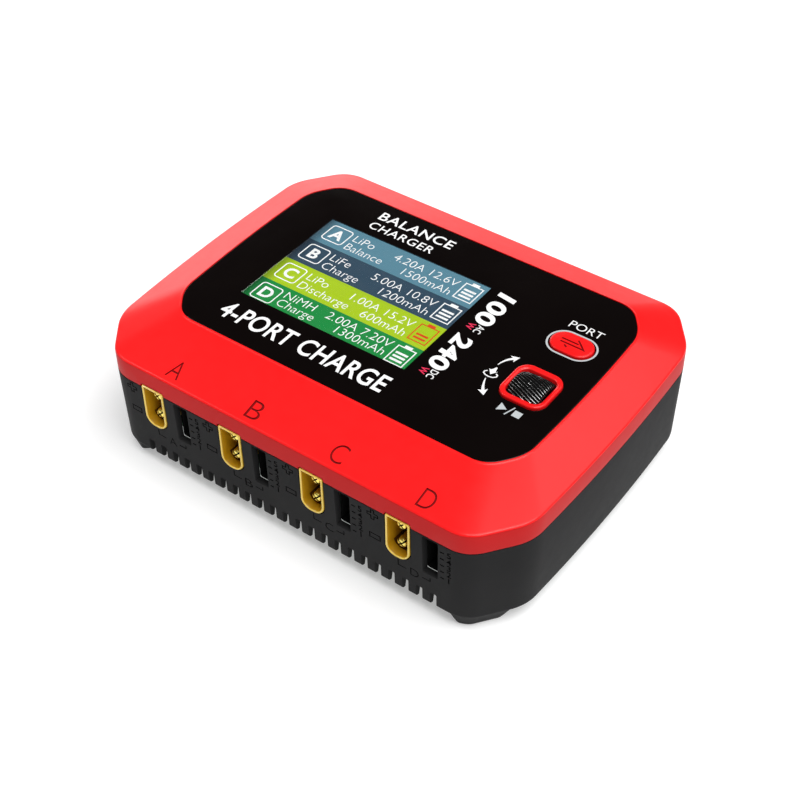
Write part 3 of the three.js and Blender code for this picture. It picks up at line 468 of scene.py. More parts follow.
def rgb(red, green, blue):
    """A colour given as display values from 0 to 255."""
    linear = []
    for value in (red, green, blue):
        share = value / 255
        linear.append(share / 12.92 if value <= 10 else ((share + 0.055) / 1.055) ** 2.4)
    return tuple(linear)


def moulded(name, low, high, roughness, grain=3800, depth=6e-6, coat=0.0, spread=0.025, specular=0.5):
    """Injection-moulded plastic: a fine eroded texture, slight flow variation and faint handling marks."""
    nodes = Nodes(name)
    texture = nodes.noise(grain, 2.0, 0.6)
    flow = nodes.noise(28, 3.0)
    handling = nodes.noise(240, 5.0, 0.65)
    return nodes.finish(
        Base_Color=nodes.colour(flow, low, high),
        Roughness=nodes.spread(handling, roughness - spread, roughness + spread),
        Normal=nodes.bump(texture, depth, 0.6),
        Specular_IOR_Level=specular,
        Coat_Weight=coat,
        Coat_Roughness=0.12,
    )


def metal(name, low, high, roughness, grain=1500):
    """Machined or plated metal with fine drawn scratches along one way."""
    nodes = Nodes(name)
    stretch = nodes.add("ShaderNodeMapping")
    stretch.inputs["Scale"].default_value = (1, 0.06, 1)
    nodes.link(nodes.coordinates.outputs["Object"], stretch.inputs["Vector"])
    scratch = nodes.add("ShaderNodeTexNoise", Scale=grain, Detail=4.0)
    nodes.link(stretch.outputs["Vector"], scratch.inputs["Vector"])
    tarnish = nodes.noise(160, 4.0)
    return nodes.finish(
        Base_Color=nodes.colour(tarnish, low, high),
        Metallic=1.0,
        Roughness=nodes.spread(tarnish, roughness - 0.06, roughness + 0.08),
        Normal=nodes.bump(scratch.outputs["Fac"], 4e-6, 0.5),
    )


def printed(name, colour, glow=0.0, roughness=0.35):
    """Screen-printed ink: a flat colour with a fine mesh-printed grain."""
    nodes = Nodes(name)
    grain = nodes.noise(5200, 2.0)
    darker = tuple(0.93 * v for v in colour)
    ink = nodes.colour(grain, darker, colour, (0.35, 0.6))
    values = {"Base_Color": ink, "Roughness": nodes.spread(grain, roughness - 0.05, roughness + 0.05)}
    if glow:
        values["Emission_Color"] = (*colour, 1)
        values["Emission_Strength"] = glow
        values["Base_Color"] = (*(0.2 * v for v in colour), 1)
    return nodes.finish(**values)


def lit_row(name, dark, light):
    """One row of the lit picture: brighter to the right, dim at the left edge, with a fine dot grid."""
    nodes = Nodes(name)
    split = nodes.add("ShaderNodeSeparateXYZ")
    nodes.link(nodes.coordinates.outputs["Object"], split.inputs["Vector"])
    edge = nodes.spread(split.outputs["X"], 0.0, 1.0, (SCREEN_LEFT * MM, (SCREEN_LEFT + 5) * MM))
    colour = nodes.colour(edge, dark, light, (0.0, 0.9))
    dots = nodes.add("ShaderNodeTexWave", Scale=480.0, Distortion=0.0)
    nodes.link(nodes.coordinates.outputs["Object"], dots.inputs["Vector"])
    glow = nodes.spread(dots.outputs["Fac"], 0.92, 1.0, (0.0, 1.0))
    return nodes.finish(
        Base_Color=(0.01, 0.01, 0.01, 1),
        Roughness=0.25,
        Emission_Color=colour,
        Emission_Strength=glow,
    )


SCREEN_LEFT, SCREEN_RIGHT = -49.5, 15.4
ROW_EDGES = [25.2, 12.6, 0.1, -12.4, -23.1]
ROW_COLOURS = [
    ((55, 84, 98), (95, 145, 165)),
    ((26, 42, 56), (52, 78, 98)),
    ((120, 150, 10), (182, 217, 30)),
    ((8, 88, 40), (24, 150, 68)),
]

red_plastic = moulded(
    "red_plastic", (0.94, 0.008, 0.009), (0.98, 0.010, 0.011), 0.34, depth=3e-6, coat=0.06, specular=0.3)
# A darker copy of the red plastic for the side band below the shoulder: painted shade.
red_band_painted_shade = moulded(
    "red_band_painted_shade", (0.58, 0.009, 0.010), (0.62, 0.011, 0.012), 0.5, depth=8e-6, specular=0.1)
# Dark red for the engraved letters and the button's marks: painted shade in their grooves.
red_recess_painted_shade = moulded("red_recess_painted_shade", (0.24, 0.003, 0.004), (0.28, 0.004, 0.005), 0.5, specular=0.2)
black_plastic = moulded(
    "black_plastic", (0.021, 0.021, 0.0215), (0.025, 0.025, 0.0255), 0.5, depth=9e-6, specular=0.035)
# Near-black for the engraved signs and the pin slots: painted shade in these recesses.
black_recess_painted_shade = moulded("black_recess_painted_shade", (0.002, 0.002, 0.002), (0.003, 0.003, 0.003), 0.7, specular=0.05)
dark_nylon = moulded("dark_nylon", (0.006, 0.006, 0.006), (0.009, 0.009, 0.009), 0.55, specular=0.05)
gold_nylon = moulded("gold_nylon", (0.52, 0.27, 0.006), (0.60, 0.32, 0.010), 0.30, grain=2600, coat=0.1)
# A dark copy of the yellow nylon for the deep cavity: painted shade.
gold_deep_painted_shade = moulded("gold_deep_painted_shade", (0.10, 0.035, 0.003), (0.13, 0.05, 0.004), 0.4, grain=2600)
# A light copy of the yellow nylon for the front rim: painted light.
gold_rim_painted_light = moulded("gold_rim_painted_light", (0.95, 0.66, 0.09), (1.0, 0.72, 0.12), 0.25, grain=2600, coat=0.2)
rubber = moulded("rubber_pad", (0.010, 0.010, 0.010), (0.016, 0.016, 0.016), 0.85, grain=1600, depth=3e-5)
epoxy = moulded("dark_epoxy", (0.03, 0.03, 0.033), (0.045, 0.045, 0.05), 0.6)
board_mask = moulded("board_mask", (0.008, 0.085, 0.035), (0.012, 0.11, 0.045), 0.35)
tape = moulded("winding_tape", (0.6, 0.42, 0.03), (0.68, 0.5, 0.04), 0.4)
sleeve = moulded("capacitor_sleeve", (0.012, 0.025, 0.07), (0.018, 0.035, 0.09), 0.3)
gold_plate = metal("gold_plate", (1.0, 0.78, 0.16), (1.0, 0.86, 0.24), 0.38)
steel = metal("bright_steel", (0.52, 0.53, 0.55), (0.62, 0.63, 0.65), 0.28)
aluminium = metal("sawn_aluminium", (0.58, 0.59, 0.61), (0.66, 0.67, 0.69), 0.36)
tin_plate = metal("tin_plate", (0.70, 0.68, 0.62), (0.80, 0.78, 0.72), 0.25)
white_ink = printed("white_ink", rgb(252, 252, 252))
grey_ink = printed("grey_ink", rgb(196, 202, 204))
red_ink = printed("red_ink", rgb(235, 48, 88))
white_light = printed("white_light", rgb(250, 252, 252), glow=0.95)
red_light = printed("red_light", rgb(222, 70, 20), glow=0.9)
row_lights = [
    lit_row(f"row_light_{c}", rgb(*dark), rgb(*light)) for c, (dark, light) in zip("abcd", ROW_COLOURS)
]


def window_black():
    """Back-printed black acrylic: deep gloss with a faint orange peel and light wipe marks."""
    nodes = Nodes("window_black")
    wipes = nodes.noise(60, 6.0, 0.7)
    return nodes.finish(
        Base_Color=nodes.colour(nodes.noise(30), (0.0026, 0.0014, 0.0013), (0.0034, 0.0020, 0.0018)),
        Roughness=nodes.spread(wipes, 0.08, 0.15),
        Specular_IOR_Level=0.22,
        Normal=nodes.bump(nodes.noise(140, 2.0), 4e-6, 0.3),
    )


def clear_pane():
    nodes = Nodes("clear_pane")
    return nodes.finish(
        Base_Color=(1, 1, 1, 1),
        Roughness=nodes.spread(nodes.noise(60, 6.0, 0.7), 0.0, 0.03),
        Transmission_Weight=1.0,
        Specular_IOR_Level=0.22,
        IOR=1.45,
        Normal=nodes.bump(nodes.noise(140, 2.0), 2e-6, 0.2),
    )


def wheel_black():
    nodes = Nodes("wheel_black")
    return nodes.finish(
        Base_Color=nodes.colour(nodes.noise(300), (0.0015, 0.0015, 0.0015), (0.003, 0.003, 0.003)),
        Roughness=nodes.spread(nodes.noise(500, 4.0), 0.4, 0.5),
        Specular_IOR_Level=0.06,
    )


black_window = window_black()
clear_plastic = clear_pane()
gloss_wheel = wheel_black()
# Bright metal on the black wheel's ridge crests: painted highlight lines along the ridges.
ridge_painted_highlight = metal("ridge_painted_highlight", (0.28, 0.28, 0.28), (0.40, 0.40, 0.40), 0.26)

# ---- Top cover -----------------------------------------------------------------------------------
DECK_PLAN = inset(WINDOW_PLAN, -0.3)
SLOPE_RISE = TOP - SHOULDER
LIP_SHARE = 0.975
LIP_PROUD = 0.06


def top_cover_rings():
    """The outside of the cover, from the seam up over the shoulder and the slope to the window's edge."""
    rings = []
    for depth, rise in ((0.55, 0.0), (0.22, 0.02), (0.06, 0.14), (0.0, 0.36)):
        rings.append(at_level(plan(**inset(SHOULDER_PLAN, depth)), SEAM + rise))
    edge, share = 0.8, 0.035
    for i in range(7):
        u = i / 6
        z = bend(SHOULDER - edge, SHOULDER, SHOULDER + share * SLOPE_RISE, u)
        rings.append(at_level(plan(**between(SHOULDER_PLAN, DECK_PLAN, u * u * share)), z))
    for share in (0.05, 0.2, 0.4, 0.6, 0.8, LIP_SHARE - 0.012, LIP_SHARE):
        z = SHOULDER + SLOPE_RISE * share
        rings.append(at_level(plan(**between(SHOULDER_PLAN, DECK_PLAN, share)), z))
    low = TOP - SLOPE_RISE * (1 - LIP_SHARE)
    for i in range(1, 5):
        u = i / 4
        outline = between(SHOULDER_PLAN, DECK_PLAN, LIP_SHARE + (1 - LIP_SHARE) * u)
        rings.append(at_level(plan(**outline), low + (TOP + LIP_PROUD - low) * (1 - (1 - u) ** 2)))
    return rings


def inner_rings():
    inner = inset(SHOULDER_PLAN, WALL)
    thick = 2.3
    share = (DECK_UNDER - SHOULDER + thick) / SLOPE_RISE
    return [
        at_level(plan(**inner), SEAM - 2),
        at_level(plan(**inner), SHOULDER - thick),
        at_level(plan(**between(inner, WINDOW_PLAN, share)), DECK_UNDER),
    ]


def stadium(grow, steps=14):
    width = 9.4 + 2 * grow
    return rounded(BUTTON.x, BUTTON.y, 14.7 + 2 * grow, width, width / 2 - 0.01, steps)


def bezel_outline(grow, steps=10):
    return rounded(WHEEL.x, WHEEL.y, 16.2 + 2 * grow, 16.9 + 2 * grow, max(4.5 + grow, 0.3), steps)


def socket_outline(grow, steps=10):
    sharp, soft = 0.5 + grow, 3.8 + grow
    width, height = SOCKET_WIDTH + 2 * grow, SOCKET_HEIGHT + 2 * grow
    return rounded(0, 0, width, height, [sharp, sharp, soft, soft], steps)


def well_outline(grow):
    """The opening in the bezel that the wheel stands in."""
    width = 12.6 + 2 * grow
    return rounded(WHEEL.x, WHEEL.y, width, width, 2.6 + grow, 10)


def socket_at(x, grow):
    """A power socket's outline in X and Z, in its place on the front."""
    return [(px + x, pz + SOCKET_Z) for px, pz in socket_outline(grow)]


def slope_letters():
    """Cutters for the port letters, laid along the front slope."""
    tilt = math.atan2(SLOPE_RISE, WINDOW_PLAN["front"] - FRONT)
    up = 0.235
    tools = bmesh.new()
    y = FRONT + (WINDOW_PLAN["front"] - FRONT) * up
    z = SHOULDER + SLOPE_RISE * up
    for letter, x in zip("ABCD", PORTS):
        flat = bmesh.new()
        write(flat, letter, 0, -3.35, 6.7, width=4.9, align="middle", thickness=0.9, bold=-0.012)
        # The cut faces of the letters take the dark red: painted shade in the grooves.
        for face in flat.faces:
            face.material_index = 1
        flat.transform(Matrix.Translation((x + 7.05, y, z)) @ Matrix.Rotation(tilt, 4, "X"))
        merge(tools, flat)
    return tools


def bezel_mesh():
    """The raised rim round the wheel, with a rounded crown."""
    straight = TOP + 0.35
    steps = [(bezel_outline(0), DECK_UNDER + 0.02), (bezel_outline(0), straight)]
    for i in range(1, 7):
        angle = math.pi / 2 * i / 6
        steps.append((bezel_outline(-0.7 * (1 - math.cos(angle))), straight + 0.65 * math.sin(angle)))
    return stack(steps)


def build_cover():
    cover = make_object("cover_shell", loft(top_cover_rings()), [red_plastic, red_recess_painted_shade, red_band_painted_shade])
    tools = loft(inner_rings())
    pocket = plan(**inset(WINDOW_PLAN, -0.12))
    stack([(pocket, DECK), (pocket, TOP + PAST)], tools)
    boolean(cover, tools)
    boolean(cover, bezel_mesh(), "UNION")
    tools = bmesh.new()
    under = DECK_UNDER - 1
    front, back = WINDOW_Y + ROW_EDGES[-1] - 3, WINDOW_Y + ROW_EDGES[0] + 3
    block(tools, SCREEN_LEFT - 4, SCREEN_RIGHT + 7, front, back, under, TOP)
    stack([(stadium(0.3), under), (stadium(0.3), TOP + PAST)], tools)
    well = [(0, under), (0, TOP + 0.2), (0.12, TOP + 0.6), (0.45, TOP + 0.86), (1.1, TOP + 1.05)]
    well.append((1.3, TOP + PAST))
    stack([(well_outline(grow), z) for grow, z in well], tools)
    for x in PORTS:
        outline, wide = socket_at(x, SOCKET_GAP), socket_at(x, SOCKET_GAP + 0.2)
        steps = [(wide, FRONT - PAST), (wide, FRONT - 0.01), (outline, FRONT + 0.25), (outline, FRONT + 12)]
        bore(steps, tools)
    boolean(cover, tools)
    boolean(cover, slope_letters())
    # Faces below the shoulder take the darker red band: painted shade on the same red plastic.
    for face in cover.data.polygons:
        if face.material_index == 0 and face.center.z < (SHOULDER - 0.3) * MM:
            face.material_index = 2
    shade(cover.data, 28)
    place(cover, "base", "red_shell", "top_cover")


build_cover()

# ---- Lower case ----------------------------------------------------------------------------------
VENTS = 23
VENT_PITCH = 5.07
VENT_WIDTH = 2.4
VENT_RISE = 6
VENT_DEPTH = 8


def lean(z):
    """How far the wall of the lower case stands inside the seam at this height."""
    return DRAFT * (SEAM - z) / (SEAM - FOOT)


def case_rings():
    rings = [at_level(plan(**inset(SHOULDER_PLAN, DRAFT + CASE_EDGE)), FOOT)]
    for i in range(1, 7):
        angle = math.pi / 2 * i / 6
        shrink = DRAFT + CASE_EDGE * (1 - math.sin(angle))
        rings.append(at_level(plan(**inset(SHOULDER_PLAN, shrink)), FOOT + CASE_EDGE * (1 - math.cos(angle))))
    gap = 0.15
    rings.append(at_level(plan(**inset(SHOULDER_PLAN, lean(SEAM - 0.5))), SEAM - gap - 0.35))
    rings.append(at_level(plan(**inset(SHOULDER_PLAN, 0.05)), SEAM - gap - 0.12))
    rings.append(at_level(plan(**inset(SHOULDER_PLAN, 0.18)), SEAM - gap))
    rings.append(at_level(plan(**inset(SHOULDER_PLAN, 1.15)), SEAM - gap))
    rings.append(at_level(plan(**inset(SHOULDER_PLAN, 1.15)), SEAM + TONGUE))
    rings.append(at_level(plan(**inset(SHOULDER_PLAN, WALL)), SEAM + TONGUE))
    rings.append(at_level(plan(**inset(SHOULDER_PLAN, WALL + DRAFT)), FOOT + WALL))
    return rings


def foot_mesh():
    """Four feet along the clipped corners, with softened soles."""
    whole = bmesh.new()
    start = Vector((HALF - SHOULDER_PLAN["bow"], BACK - SHOULDER_PLAN["clip_y"]))
    end = Vector((HALF - SHOULDER_PLAN["clip_x"], BACK))
    run = (end - start).normalized()
    turn = math.atan2(run.y, -run.x)
    middle = (start + end) / 2 + run * 3.2
    profile = (  # height, length, inner edge, outer edge, corner radius
        (PAD, 14.0, 10.6, 2.9, 2.5),
        (0.75, 14.8, 11.1, 2.55, 2.8),
        (1.2, 15.4, 11.5, 2.3, 3.0),
        (5.7, 19.4, 13.5, 0.62, 3.0),
    )
    for sx in (-1, 1):
        for sy in (-1, 1):
            rings = []
            for z, length, inner, outer, radius in profile:
                y = -sy * (inner + outer) / 2
                rings.append(at_level(rounded(0, y, length, inner - outer, radius, 6), z))
            one = loft(rings)
            place_ = Matrix.Translation((sx * middle.x, sy * middle.y, 0))
            one.transform(place_ @ Matrix.Rotation(-sx * sy * turn, 4, "Z"))
            merge(whole, one)
    feet = make_object("feet_tool", whole, [])
    sole, root = plan(**inset(SHOULDER_PLAN, DRAFT + CASE_EDGE)), plan(**inset(SHOULDER_PLAN, DRAFT))
    boolean(feet, stack([(sole, PAD), (root, FOOT + CASE_EDGE)]), "INTERSECT")
    trimmed = bmesh.new()
    trimmed.from_mesh(feet.data)
    trimmed.transform(Matrix.Scale(1 / MM, 4))
    bpy.data.objects.remove(feet)
    return trimmed


def vent_tools():
    """Slots that run up the front wall and back under the floor, with rounded ends."""
    tools = bmesh.new()
    soft = 0.4
    for i in range(VENTS):
        x = (i - (VENTS - 1) / 2) * VENT_PITCH
        half = VENT_WIDTH / 2
        top = FOOT + VENT_RISE
        outline = [(x - half, 0), (x + half, 0)] + arc(x + half - soft, top - soft, soft, soft, 0, 90, 3)
        outline += arc(x - half + soft, top - soft, soft, soft, 90, 180, 3)
        merge(tools, bore([(outline, FRONT - 1), (outline, FRONT + VENT_DEPTH)]))
    return tools


def wall_marks():
    """The engraved signs beside each port, laid out in X and Z about the port's middle."""
    marks = bmesh.new()
    for letter, x in zip("ABCD", PORTS):
        plus = [(-0.55, 1.9), (0.55, 1.9), (0.55, 0.55), (1.9, 0.55), (1.9, -0.55), (0.55, -0.55),
                (0.55, -1.9), (-0.55, -1.9), (-0.55, -0.55), (-1.9, -0.55), (-1.9, 0.55), (-0.55, 0.55)]
        stroke(marks, [(x - 8.9 + px, TOP - 15.8 + pz) for px, pz in plus], 0.38, 1, closed=True)
        minus = [(-1.9, -0.95), (1.9, -0.95), (1.9, 0.95), (-1.9, 0.95)]
        stroke(marks, [(x - 8.3 + px, TOP - 25 + pz) for px, pz in minus], 0.38, 1, closed=True)
        foot_z = TOP - 29.6
        stroke(marks, [(x, foot_z), (x, foot_z - 2.4), (x + 2.9, foot_z - 2.4)], 0.34, 1)
        write(marks, letter, x + 5.9, foot_z - 4.1, 3.3, width=3.0, align="middle", thickness=1, bold=-0.012)
        stroke(marks, [(x + 8.6, foot_z - 2.4), (x + BALANCE_OFFSET, foot_z - 2.4),
                       (x + BALANCE_OFFSET, foot_z - 0.9)], 0.34, 1)
        side = x + BALANCE_OFFSET
        for row in range(5):
            z = TOP - 17.4 - row * 2.8
            stroke(marks, [(side + 3.5, z + 1.1), (side + 4.9, z + 1.1)], 0.5, 1)
            write(marks, str(5 - row), side + 6.6, z, 2.3, align="middle", thickness=1, bold=0.015)
    return marks


def laid_on_front(marks, depth=0.32):
    """Moves a flat mesh from X and Y onto the front wall, following the wall's lean."""
    # The cut faces of the signs take the near-black: painted shade in the grooves.
    for face in marks.faces:
        face.material_index = 1
    for v in marks.verts:
        x, z, t = v.co
        y = FRONT + lean(z) + (depth if t < 0 else -0.4)
        v.co = Vector((x, y, z))
    return marks


def back_tools():
    """Openings for the fan's grille and the two inlets at the back."""
    tools = bmesh.new()
    reach = 25 / 2 - 0.9
    bars = 6
    bar = 2.2
    wall_y = BACK - DRAFT - WALL
    for i in range(bars):
        drop = (i - (bars - 1) / 2) * (2 * reach / bars)
        half = math.sqrt(reach ** 2 - (abs(drop) + bar / 2) ** 2)
        slot = rounded(FAN.x, FAN.z + drop, 2 * half, bar, 1.09, 8)
        wide = rounded(FAN.x, FAN.z + drop, 2 * half + 0.8, 3.0, 1.49, 8)
        outer = BACK - lean(FAN.z + drop)
        steps = [(slot, wall_y - PAST), (slot, outer - 0.4), (wide, outer), (wide, BACK + PAST)]
        merge(tools, bore(steps))
    dc_face = [(DC_X - z, DC_Z + x) for x, z in socket_outline(SOCKET_GAP)]
    ac_face = rounded(AC_X, AC_Z, AC_WIDTH + 0.8, AC_HEIGHT + 0.8, 2.4, 8)
    for face in (dc_face, ac_face):
        merge(tools, bore([(face, wall_y - PAST), (face, BACK + PAST)]))
    return tools


def front_tools():
    tools = bmesh.new()
    for x in PORTS:
        outline = socket_at(x, SOCKET_GAP)
        merge(tools, bore([(outline, FRONT - PAST), (outline, FRONT + 12)]))
        slot = rounded(x + BALANCE_OFFSET, BALANCE_Z, BALANCE_WIDTH, BALANCE_HEIGHT, 0.3, 4)
        wide = rounded(x + BALANCE_OFFSET, BALANCE_Z, 5.7, 15.8, 0.6, 4)
        steps = [(wide, FRONT - PAST), (wide, FRONT + 0.05), (slot, FRONT + 0.75), (slot, FRONT + 4)]
        merge(tools, bore(steps))
    return tools


def floor_tools():
    """Wells for the screw heads."""
    tools = bmesh.new()
    for i in SCREWS:
        x, y, _ = middle_mm(f"case_screw_{i}")
        screw_foot = box_mm(f"case_screw_{i}")[0].z
        wide, narrow = circle(x, y, 3.9), circle(x, y, 3.2)
        steps = [(wide, FOOT - PAST), (wide, FOOT), (narrow, FOOT + 0.5), (narrow, screw_foot + 2.1)]
        merge(tools, stack(steps))
    return tools


def screw_bosses():
    bosses = bmesh.new()
    for i in SCREWS:
        x, y, _ = middle_mm(f"case_screw_{i}")
        boss = circle(x, y, 4.4)
        merge(bosses, stack([(boss, FOOT + 1), (boss, box_mm(f"case_screw_{i}")[0].z + 9)]))
    return bosses


def build_case():
    """The lower shell. Known fault: ring_loft leaves it without a floor."""
    case = make_object("lower_shell", ring_loft(case_rings()), [black_plastic, black_recess_painted_shade])
    boolean(case, foot_mesh(), "UNION")
    boolean(case, screw_bosses(), "UNION")
    boolean(case, front_tools())
    boolean(case, back_tools())
    boolean(case, vent_tools())
    boolean(case, floor_tools())
    boolean(case, laid_on_front(wall_marks()))
    shade(case.data, 30)
    place(case, "base", "black_shell", "lower_case")


build_case()

# ---- Display window and the lit picture ----------------------------------------------------------
PICTURE_Z = TOP - 0.35
PRINT_Z = TOP + 0.012


def screen_outline(grow, steps=4):
    x = (SCREEN_LEFT + SCREEN_RIGHT) / 2
    y = WINDOW_Y + (ROW_EDGES[0] + ROW_EDGES[-1]) / 2
    width = SCREEN_RIGHT - SCREEN_LEFT + 2 * grow
    height = ROW_EDGES[0] - ROW_EDGES[-1] + 2 * grow
    return rounded(x, y, width, height, 0.15, steps)


def build_window():
    edge = 0.25
    rings = [at_level(plan(**WINDOW_PLAN), window_low.z), at_level(plan(**WINDOW_PLAN), TOP - edge)]
    for i in range(1, 5):
        angle = math.pi / 2 * i / 4
        shrink = edge * (1 - math.cos(angle))
        rings.append(at_level(plan(**inset(WINDOW_PLAN, shrink)), TOP - edge + edge * math.sin(angle)))
    sheet = make_object("window_sheet", loft(rings), [black_window])
    tools = bmesh.new()
    for outline, narrow, wide, edge_depth in ((stadium, 0.3, 0.5, 0.2), (bezel_outline, 0.1, 0.22, 0.15)):
        hole, rim = outline(narrow), outline(wide)
        merge(tools, stack([(hole, DECK), (hole, TOP - edge_depth), (rim, TOP), (rim, TOP + 1)]))
    merge(tools, stack([(screen_outline(0), DECK), (screen_outline(0), TOP + 1)]))
    boolean(sheet, tools)
    shade(sheet.data, 28)
    place(sheet, "base", "window_black", "display_window")
    pane = stack([(screen_outline(-0.005), PICTURE_Z + 0.1), (screen_outline(-0.005), TOP)])
    place(make_object("window_pane", pane, [clear_plastic]), "base", "display_glass")


def raised(bm, z):
    bm.transform(Matrix.Translation((0, WINDOW_Y, z)))
    return bm


ROW_TEXT = [
    ("A", "LiPo", "Balance", "4.20A 12.6V", "1500mAh"),
    ("B", "LiFe", "Charge", "5.00A 10.8V", "1200mAh"),
    ("C", "LiPo", "Discharge", "1.00A 15.2V", "600mAh"),
    ("D", "NiMH", "Charge", "2.00A 7.20V", "1300mAh"),
]


def battery_icon(bm, top, bars):
    left, right = 7.3, 13.9
    middle = (left + right) / 2
    high, low = top - 2.2, top - 10.3
    box = [(left, low), (right, low), (right, high), (left, high)]
    stroke(bm, box, 0.42, closed=True)
    plate(bm, rounded(middle, high + 0.75, 2.8, 1.0, 0.1, 2))
    for i in range(bars):
        plate(bm, rounded(middle, low + 1.7 + 1.7 * i, 4.5, 0.9, 0.05, 2))


def build_picture():
    rows = bmesh.new()
    for i, (top, bottom) in enumerate(zip(ROW_EDGES, ROW_EDGES[1:])):
        corners = [(SCREEN_LEFT, bottom), (SCREEN_RIGHT, bottom), (SCREEN_RIGHT, top), (SCREEN_LEFT, top)]
        one = stack([(corners, DECK - TOP), (corners, PICTURE_Z - TOP)])
        for face in one.faces:
            face.material_index = i
        merge(rows, one)
    picture = make_object("screen_picture", raised(rows, TOP), row_lights)
    place(picture, "base", "display_glass", "lcd_panel")
    white = bmesh.new()
    red = bmesh.new()
    for (letter, kind, mode, values, charge), top, bottom in zip(ROW_TEXT, ROW_EDGES, ROW_EDGES[1:]):
        upper = top - 0.46 * (top - bottom)
        lower = top - 0.85 * (top - bottom)
        stroke(white, rounded(-42.8, top - 6.0, 8.2, 8.2, 1.2, 5), 0.42, closed=True)
        write(white, letter, -42.8, top - 8.3, 4.6, align="middle", bold=0.03)
        thin = {"spacing": 1.0, "bold": -0.013}
        write(white, kind, -36.9, upper, 3.5, **thin)
        write(white, mode, -36.9, lower, 3.5, **thin)
        write(white, values, 5.4, upper - 0.1, 3.5, align="right", **thin)
        write(white, charge, 5.4, lower - 0.1, 3.5, align="right", **thin)
        low = letter == "C"
        battery_icon(red if low else white, top, 2 if low else 3)
    for name, bm, ink in (("screen_text", white, white_light), ("screen_low_battery", red, red_light)):
        place(make_object(name, raised(bm, PICTURE_Z + 0.02), [ink]), "base", "display_glass")


build_window()
build_picture()

# ---- Print on the window -------------------------------------------------------------------------


def swept_arrow(bm, line, width, tip, head):
    """An arrow whose shaft widens along a line up to its head."""
    left, right = [], []
    for i, point in enumerate(line):
        before, after = line[max(i - 1, 0)], line[min(i + 1, len(line) - 1)]
        along = (Vector(after) - Vector(before)).normalized()
        normal = Vector((-along.y, along.x)) * width / 2 * (0.25 + 0.75 * i / (len(line) - 1))
        left.append(tuple(Vector(point) + normal))
        right.append(tuple(Vector(point) - normal))
    along = (Vector(tip) - Vector(line[-1])).normalized()
    across = Vector((-along.y, along.x)) * head / 2
    back = Vector(line[-1]) - along * 0.4
    wings = [tuple(back + across), tip, tuple(back - across)]
    plate(bm, left + wings + list(reversed(right)))


def build_print():
    white = bmesh.new()
    grey = bmesh.new()
    red = bmesh.new()
    write(white, "BALANCE", -37.2, 34.4, 4.2, width=30, bold=0.012, spacing=1.08)
    write(white, "CHARGER", -37.2, 28.6, 3.6, width=26, bold=0.004, spacing=1.08)
    write(white, "4-PORT CHARGE", -49.2, -35.8, 7.2, width=64.5, bold=0.016, spacing=1.04)
    write(white, "100", 19.3, 25.3, 6.1, width=17.2, turn=-90, bold=0.034, shear=0.1, spacing=1.04)
    write(red, "W", 19.2, 7.3, 2.4, width=3.2, turn=-90, bold=0.02)
    write(white, "AC", 22.4, 7.6, 2.5, width=3.9, turn=-90, bold=0.006)
    write(white, "240", 19.3, 1.0, 6.1, width=18.4, turn=-90, bold=0.034, shear=0.1, spacing=1.04)
    write(red, "W", 19.2, -18.3, 2.4, width=3.2, turn=-90, bold=0.02)
    write(white, "DC", 22.4, -18.0, 2.5, width=3.9, turn=-90, bold=0.006)
    write(white, "PORT", 51.3, 23.4, 3.3, width=11.8, align="middle", bold=-0.006)
    ring_y = BUTTON.y - WINDOW_Y
    stroke(grey, rounded(BUTTON.x, ring_y, 16.5, 11.1, 5.5, 14), 0.62, closed=True)
    turn_back = [(37.5, -4.7), (37.7, -3.5), (38.2, -2.1), (38.9, -0.8), (39.9, 0.3)]
    turn_front = [(37.8, -11.9), (38.2, -13.2), (38.8, -14.6), (39.4, -15.8), (40.1, -16.9)]
    press = [(38.1, -6.0), (38.0, -7.2), (37.9, -7.9)]
    swept_arrow(white, turn_back, 0.95, (41.4, 1.9), 3.0)
    swept_arrow(white, turn_front, 1.0, (41.5, -18.7), 3.1)
    swept_arrow(white, press, 1.9, (38.0, -9.7), 3.2)
    ring = [
        (36.4, -8.7), (35.75, -9.4), (35.9, -10.2), (36.9, -10.7), (38.2, -10.85),
        (39.5, -10.5), (40.25, -9.7), (40.1, -8.9), (39.4, -8.5),
    ]
    stroke(white, ring, 0.42)
    plate(grey, [(47.8, -21.75), (50.6, -19.95), (47.75, -18.2)])
    stroke(grey, [(51.0, -22.1), (52.3, -17.9)], 0.42)
    plate(grey, [(52.95, -21.35), (55.65, -21.4), (55.7, -18.8), (53.0, -18.7)])
    for name, bm, ink in (("print_white", white, white_ink), ("print_grey", grey, grey_ink),
                          ("print_red", red, red_ink)):
        place(make_object(name, raised(bm, PRINT_Z), [ink]), "base", "window_black")


build_print()

# ---- Push button ---------------------------------------------------------------------------------


def build_button():
    under = button_low.z
    flange = 0.8
    rim = TOP + 0.35
    crown = 0.5
    soft = 1.1
    steps = [(stadium(1.0), under), (stadium(1.0), under + flange), (stadium(0), under + flange)]
    steps.append((stadium(0), rim))
    for i in range(1, 9):
        angle = math.pi / 2 * i / 8
        steps.append((stadium(-soft * (1 - math.cos(angle))), rim + crown * math.sin(angle)))
    for share in (0.25, 0.5, 0.75):
        steps.append((stadium(-soft - 3.3 * share), rim + crown + 0.25 * (1 - (1 - share) ** 2)))
    button = make_object("button_cap", stack(steps), [red_plastic, red_recess_painted_shade])
    marks = bmesh.new()
    arrow = [(-3.7, -1.0), (4.6, -1.0), (1.0, 2.2)]
    tail = [(-4.0, 0.45), (2.0, 0.45)]
    tick = [(-1.7, -1.9), (-0.6, -2.6)]
    for line in (arrow, tail, tick):
        stroke(marks, line, 0.55, 1.2)
    # The cut faces of the marks take the dark red: painted shade in the grooves.
    for face in marks.faces:
        face.material_index = 1
    marks.transform(Matrix.Translation((BUTTON.x, BUTTON.y, TOP + 1.35)))
    boolean(button, marks)
    shade(button.data, 30)
    place(button, "button", "red_shell", "port_button")


build_button()

# ---- Scroll wheel --------------------------------------------------------------------------------


